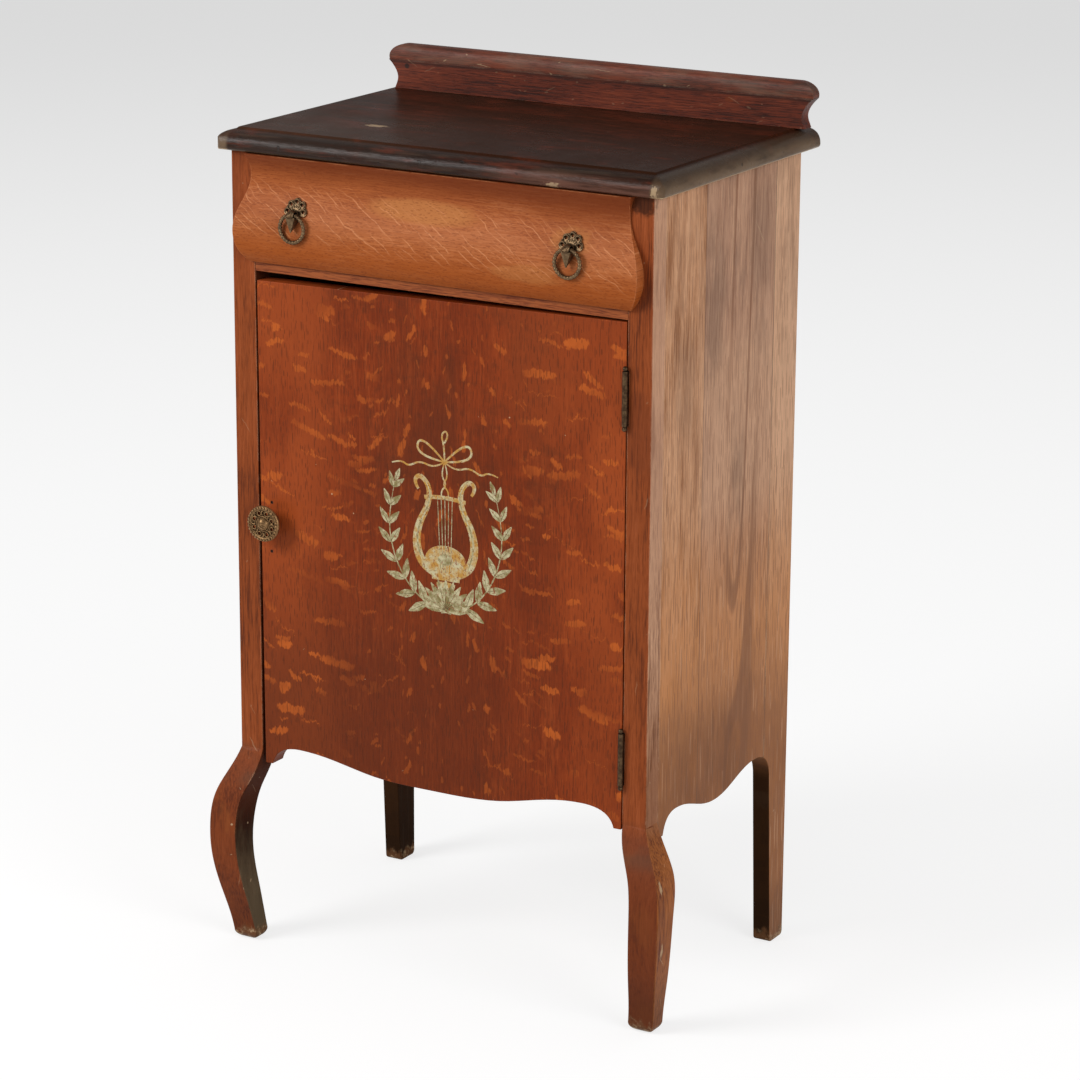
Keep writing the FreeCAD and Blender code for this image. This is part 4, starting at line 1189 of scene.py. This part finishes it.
class CABINET_OT_print(bpy.types.Operator):
    """Old transfer print on the door: a lyre between leaf sprays under a ribbon"""
    bl_idname = "cabinet.print"
    bl_label = "Door print"

    def execute(self, context):
        middle_x, middle_z, lean = 0.010, 0.507, 0.6
        self.place = outward((middle_x, door_face, middle_z)) @ turned(lean)
        self.leaf_count = 0
        self.veins = bmesh.new()
        self.leaves()
        self.lyre()
        self.ribbon()
        self.lay("print_veins", self.veins, "ink", 4.6)
        return {"FINISHED"}

    def lay(self, name, shell, material, coats=1.0):
        """Presses the shell into a thin layer on the door, over the coats that are there."""
        bmesh.ops.recalc_face_normals(shell, faces=shell.faces)
        lift = settings().sizes.print_lift * coats
        tallest = max(abs(vert.co.z) for vert in shell.verts)
        for vert in shell.verts:
            vert.co.z = vert.co.z / tallest * lift
        bmesh.ops.transform(shell, matrix=self.place, verts=shell.verts)
        new_piece(name, shell, material, "door", smooth=False)

    def cutout(self, shell, segments, thickness, shape):
        """Adds a flat disc of ink whose rim the shape moves, and gives it its thickness."""
        rim = bmesh.ops.create_circle(shell, cap_ends=True, segments=segments, radius=1.0)["verts"]
        for vert in rim:
            vert.co.xy = shape(*vert.co.xy)
        skin = list({face for vert in rim for face in vert.link_faces})
        grown = bmesh.ops.extrude_face_region(shell, geom=skin)["geom"]
        tops = [item for item in grown if isinstance(item, bmesh.types.BMVert)]
        bmesh.ops.translate(shell, vec=(0, 0, thickness), verts=tops)
        return rim + tops

    def leaf(self, shell, root, turn, length, width):
        self.leaf_count += 1
        thickness = (0.5 + 0.5 * (self.leaf_count * 0.37 % 1.0)) * MM
        verts = self.cutout(shell, 16, thickness, lambda x, y: (
            (x + 1.0) * 0.5 * length, y * 0.5 * width * (1.0 - 0.35 * abs(x)) * (1.0 - 0.35 * x)))
        matrix = Matrix.Translation(root.to_3d()) @ Matrix.Rotation(turn, 4, "Z")
        bmesh.ops.transform(shell, matrix=matrix, verts=verts)
        vein = [matrix @ Vector((length * part, width * 0.04, 0)) for part in (0.05, 0.5, 0.9)]
        line_shell(self.veins, vein, mm(0.34, 0.28, 0.12), fine=2)

    def disc(self, shell, centre, reach):
        self.cutout(shell, 32, 1.0 * MM,
                    lambda x, y: mm(x * reach[0] + centre[0], y * reach[1] + centre[1]))

    def leaves(self):
        pale, dull, stems = bmesh.new(), bmesh.new(), bmesh.new()
        twigs = (((24, -84), 20), ((38, -75), 35), ((50, -61), 55), ((60, -44), 70), ((67, -24), 85),
                 ((69, -4), 95), ((67, 16), 103), ((63, 36), 110))
        for way in (-1, 1):
            stem = mirrored(way, (-6, -92), (14, -88), (40, -74), (60, -46), (69, -12), (66, 22), (60, 44))
            line_shell(stems, stem, mm(0.5, 0.9, 0.8, 0.8, 0.7, 0.5, 0.3))
            for number, (root, heading) in enumerate(twigs):
                size = (25.0 - number * 1.1) * MM
                for side in (-1, 1):
                    turn = math.radians(heading + side * (48 - number * 2))
                    turn = math.pi - turn if way < 0 else turn
                    shell = pale if (number + side) % 3 else dull
                    self.leaf(shell, mirrored(way, root)[0], turn, size, size * 0.38)
            self.leaf(pale, mirrored(way, (60, 43))[0], math.radians(90 + 22 * way), 15 * MM, 6 * MM)
        self.lay("print_leaves_pale", pale, "cream")
        self.lay("print_leaves_dull", dull, "olive", 1.5)
        self.lay("print_stems", stems, "olive", 2.0)

    def lyre(self):
        warm, pale, shade, fine = bmesh.new(), bmesh.new(), bmesh.new(), bmesh.new()
        for way in (-1, 1):
            arm = mirrored(way, (5, -52), (26, -46), (36, -24), (33, 0), (20, 22), (18, 42), (30, 54),
                           (38, 46), (32, 38))
            line_shell(warm, arm, mm(4.4, 5.2, 5.0, 4.2, 3.4, 3.0, 2.6, 2.2, 1.6))
            shine = [Vector((p.x - way * 0.8 * MM, p.y)) for p in arm[1:7]]
            line_shell(pale, shine, mm(1.0, 1.5, 1.3, 1.1, 0.9, 0.5))
        line_shell(warm, mm((-25, 30), (0, 34), (25, 30)), mm(2.2, 2.2, 2.2))
        for i in range(5):
            top, low = mm((-9 + 4.5 * i, 33), (-6 + 3.0 * i, -48))
            line_shell(fine, [top, (top + low) / 2, low], mm(0.45, 0.45, 0.45), fine=2)
        for height, radius, wide in ((-53, 6.0, 17.0), (-62, 4.0, 11.0), (-69, 3.4, 15.0)):
            line_shell(warm, mm((-wide, height), (0, height + 2), (wide, height)),
                       mm(radius * 0.6, radius, radius * 0.6))
        self.disc(warm, (0, -36), (25, 17))
        self.disc(pale, (0, -34), (9, 6))
        for i in range(11):
            turn = math.radians(6 + 16.8 * i)
            self.leaf(pale if i % 2 else shade, Vector((0, -88)) * MM, turn, 33 * MM, 10 * MM)
        self.lay("print_lyre", warm, "ochre", 2.6)
        self.lay("print_lyre_shine", pale, "cream", 3.4)
        self.lay("print_shell", shade, "olive", 3.0)
        self.lay("print_strings", fine, "cream", 4.2)

    def ribbon(self):
        band = bmesh.new()
        loop = ((0, 70), (14, 84), (30, 92), (34, 80), (20, 72), (0, 70))
        tail = ((0, 70), (12, 62), (30, 68), (44, 60), (52, 66), (64, 62))
        drop = ((0, 70), (5, 56), (-3, 46), (6, 38), (3, 30))
        for way in (-1, 1):
            for path, radius in ((loop, 1.3), (tail, 1.0), (drop, 0.9)):
                radii = [radius * 0.7] + [radius] * (len(path) - 2) + [radius * 0.7]
                line_shell(band, mirrored(way, *path), mm(*radii))
        eye = mm((0, 72), (0, 86), (-4, 98), (2, 104), (5, 97), (0, 90))
        line_shell(band, eye, [1.0 * MM] * len(eye))
        ball_shell(band, 3.0 * MM, moved(0, 70, 0))
        self.lay("print_ribbon", band, "ochre", 3.8)


class CABINET_OT_studio(bpy.types.Operator):
    """Pale floor, soft light and the camera"""
    bl_idname = "cabinet.studio"
    bl_label = "Studio"

    def execute(self, context):
        studio = settings().studio
        self.floor(studio)
        self.sky(studio)
        self.lamp("key", (-2.1, -3.0, 2.6), 2.0, studio.key_power)
        self.lamp("fill", (3.2, -1.2, 1.7), 2.2, studio.fill_power)
        self.camera(studio)
        return {"FINISHED"}

    def stand(self, name, data):
        """Object of the stage."""
        item = bpy.data.objects.new(name, data)
        bpy.context.scene.collection.objects.link(item)
        return item

    def floor(self, studio):
        """Grey to the light that falls on the cabinet, pale to the eye; it keeps the shadow."""
        reach = 40.0
        shell = bmesh.new()
        bmesh.ops.create_circle(shell, cap_ends=True, segments=96, radius=reach)
        mesh = bpy.data.meshes.new("floor")
        shell.to_mesh(mesh)
        shell.free()
        material = bpy.data.materials.new("studio_floor")
        b = fresh_bench(material)
        away = b.calc("LENGTH", b.out("Object", "TexCoord")).step(1.3, 7.5)
        matt = b.out(0, "BsdfDiffuse", {"Color": (0.5, 0.5, 0.5)})
        dim = b.out(0, "BsdfDiffuse", {"Color": (0.35, 0.35, 0.35)})
        glow = b.out(0, "Emission", {"Color": b.mix(away, studio.backdrop_near, studio.backdrop_far),
                                     "Strength": 0.72})
        seen = b.out(0, "AddShader", {0: dim, 1: glow})
        path = b.add("LightPath").outputs
        camera, glossy, through = [
            Wire(b, path["Is %s Ray" % way]) for way in ("Camera", "Glossy", "Transmission")]
        b.add("OutputMaterial", {"Surface": b.mix_shader(camera | glossy | through, matt, seen)})
        mesh.materials.append(material)
        floor = self.stand("floor", mesh)

    def sky(self, studio):
        world = bpy.data.worlds.new("studio_sky")
        b = fresh_bench(world)
        even = b.out(0, "Background", {"Color": (1.0, 1.0, 1.0), "Strength": studio.sky})
        shown = b.out(0, "Background", {"Color": studio.backdrop_far, "Strength": 1.0})
        b.add("OutputWorld", {"Surface": b.mix_shader(b.out("Is Camera Ray", "LightPath"), even, shown)})
        bpy.context.scene.world = world

    def lamp(self, name, at, size, energy):
        light = bpy.data.lights.new(name, "AREA")
        light.shape = "DISK"
        light.size = size
        light.energy = energy
        lamp = self.stand(name, light)
        lamp.location = at
        aim = Vector((0, 0, 0.5)) - Vector(at)
        lamp.rotation_euler = aim.to_track_quat("-Z", "Y").to_euler()

    def camera(self, studio):
        a, e, r = studio.azimuth, studio.elevation, studio.roll
        back = Vector((math.sin(a) * math.cos(e), -math.cos(a) * math.cos(e), math.sin(e)))
        right = Vector((math.cos(a), math.sin(a), 0))
        up = back.cross(right)
        level = right * math.cos(r) + up * math.sin(r)
        upright = up * math.cos(r) - right * math.sin(r)
        lens = bpy.data.cameras.new("camera")
        lens.sensor_width = 36.0
        lens.lens = studio.lens
        lens.clip_end = 100.0
        camera = self.stand("camera", lens)
        camera.matrix_world = (Matrix.Translation(Vector(studio.target) + back * studio.distance)
                               @ Matrix((level, upright, back)).transposed().to_4x4())
        bpy.context.scene.camera = camera


PIECE_OPERATORS = (CABINET_OT_case, CABINET_OT_door, CABINET_OT_drawer, CABINET_OT_hinges, CABINET_OT_knob,
                   CABINET_OT_pulls, CABINET_OT_print, CABINET_OT_studio)


class CABINET_PT_panel(bpy.types.Panel):
    """Lists the pieces of the music cabinet"""
    bl_idname = "CABINET_PT_panel"
    bl_label = "Music cabinet"
    bl_space_type = "VIEW_3D"
    bl_region_type = "UI"
    bl_category = "Cabinet"

    def draw(self, context):
        for operator in PIECE_OPERATORS:
            self.layout.operator(operator.bl_idname)


CLASSES = (CabinetOakTones, CabinetMetalTones, CabinetPrintTones, CabinetSizes, CabinetStudio,
           CabinetSettings) + PIECE_OPERATORS + (CABINET_PT_panel,)


def register():
    for item in CLASSES:
        bpy.utils.register_class(item)
    bpy.types.Scene.music_cabinet = bpy.props.PointerProperty(type=CabinetSettings, name="Music cabinet",
                                                              description="Settings of the music cabinet")


def unregister():
    del bpy.types.Scene.music_cabinet
    for item in reversed(CLASSES):
        bpy.utils.unregister_class(item)


def main():
    register()
    bpy.context.scene.view_settings.view_transform = "Standard"
    bpy.ops.cabinet.case()
    bpy.ops.cabinet.door()
    bpy.ops.cabinet.drawer()
    bpy.ops.cabinet.hinges()
    bpy.ops.cabinet.knob()
    bpy.ops.cabinet.pulls()
    bpy.ops.cabinet.print()
    bpy.ops.cabinet.studio()
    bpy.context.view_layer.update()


if __name__ == "__main__":
    main()
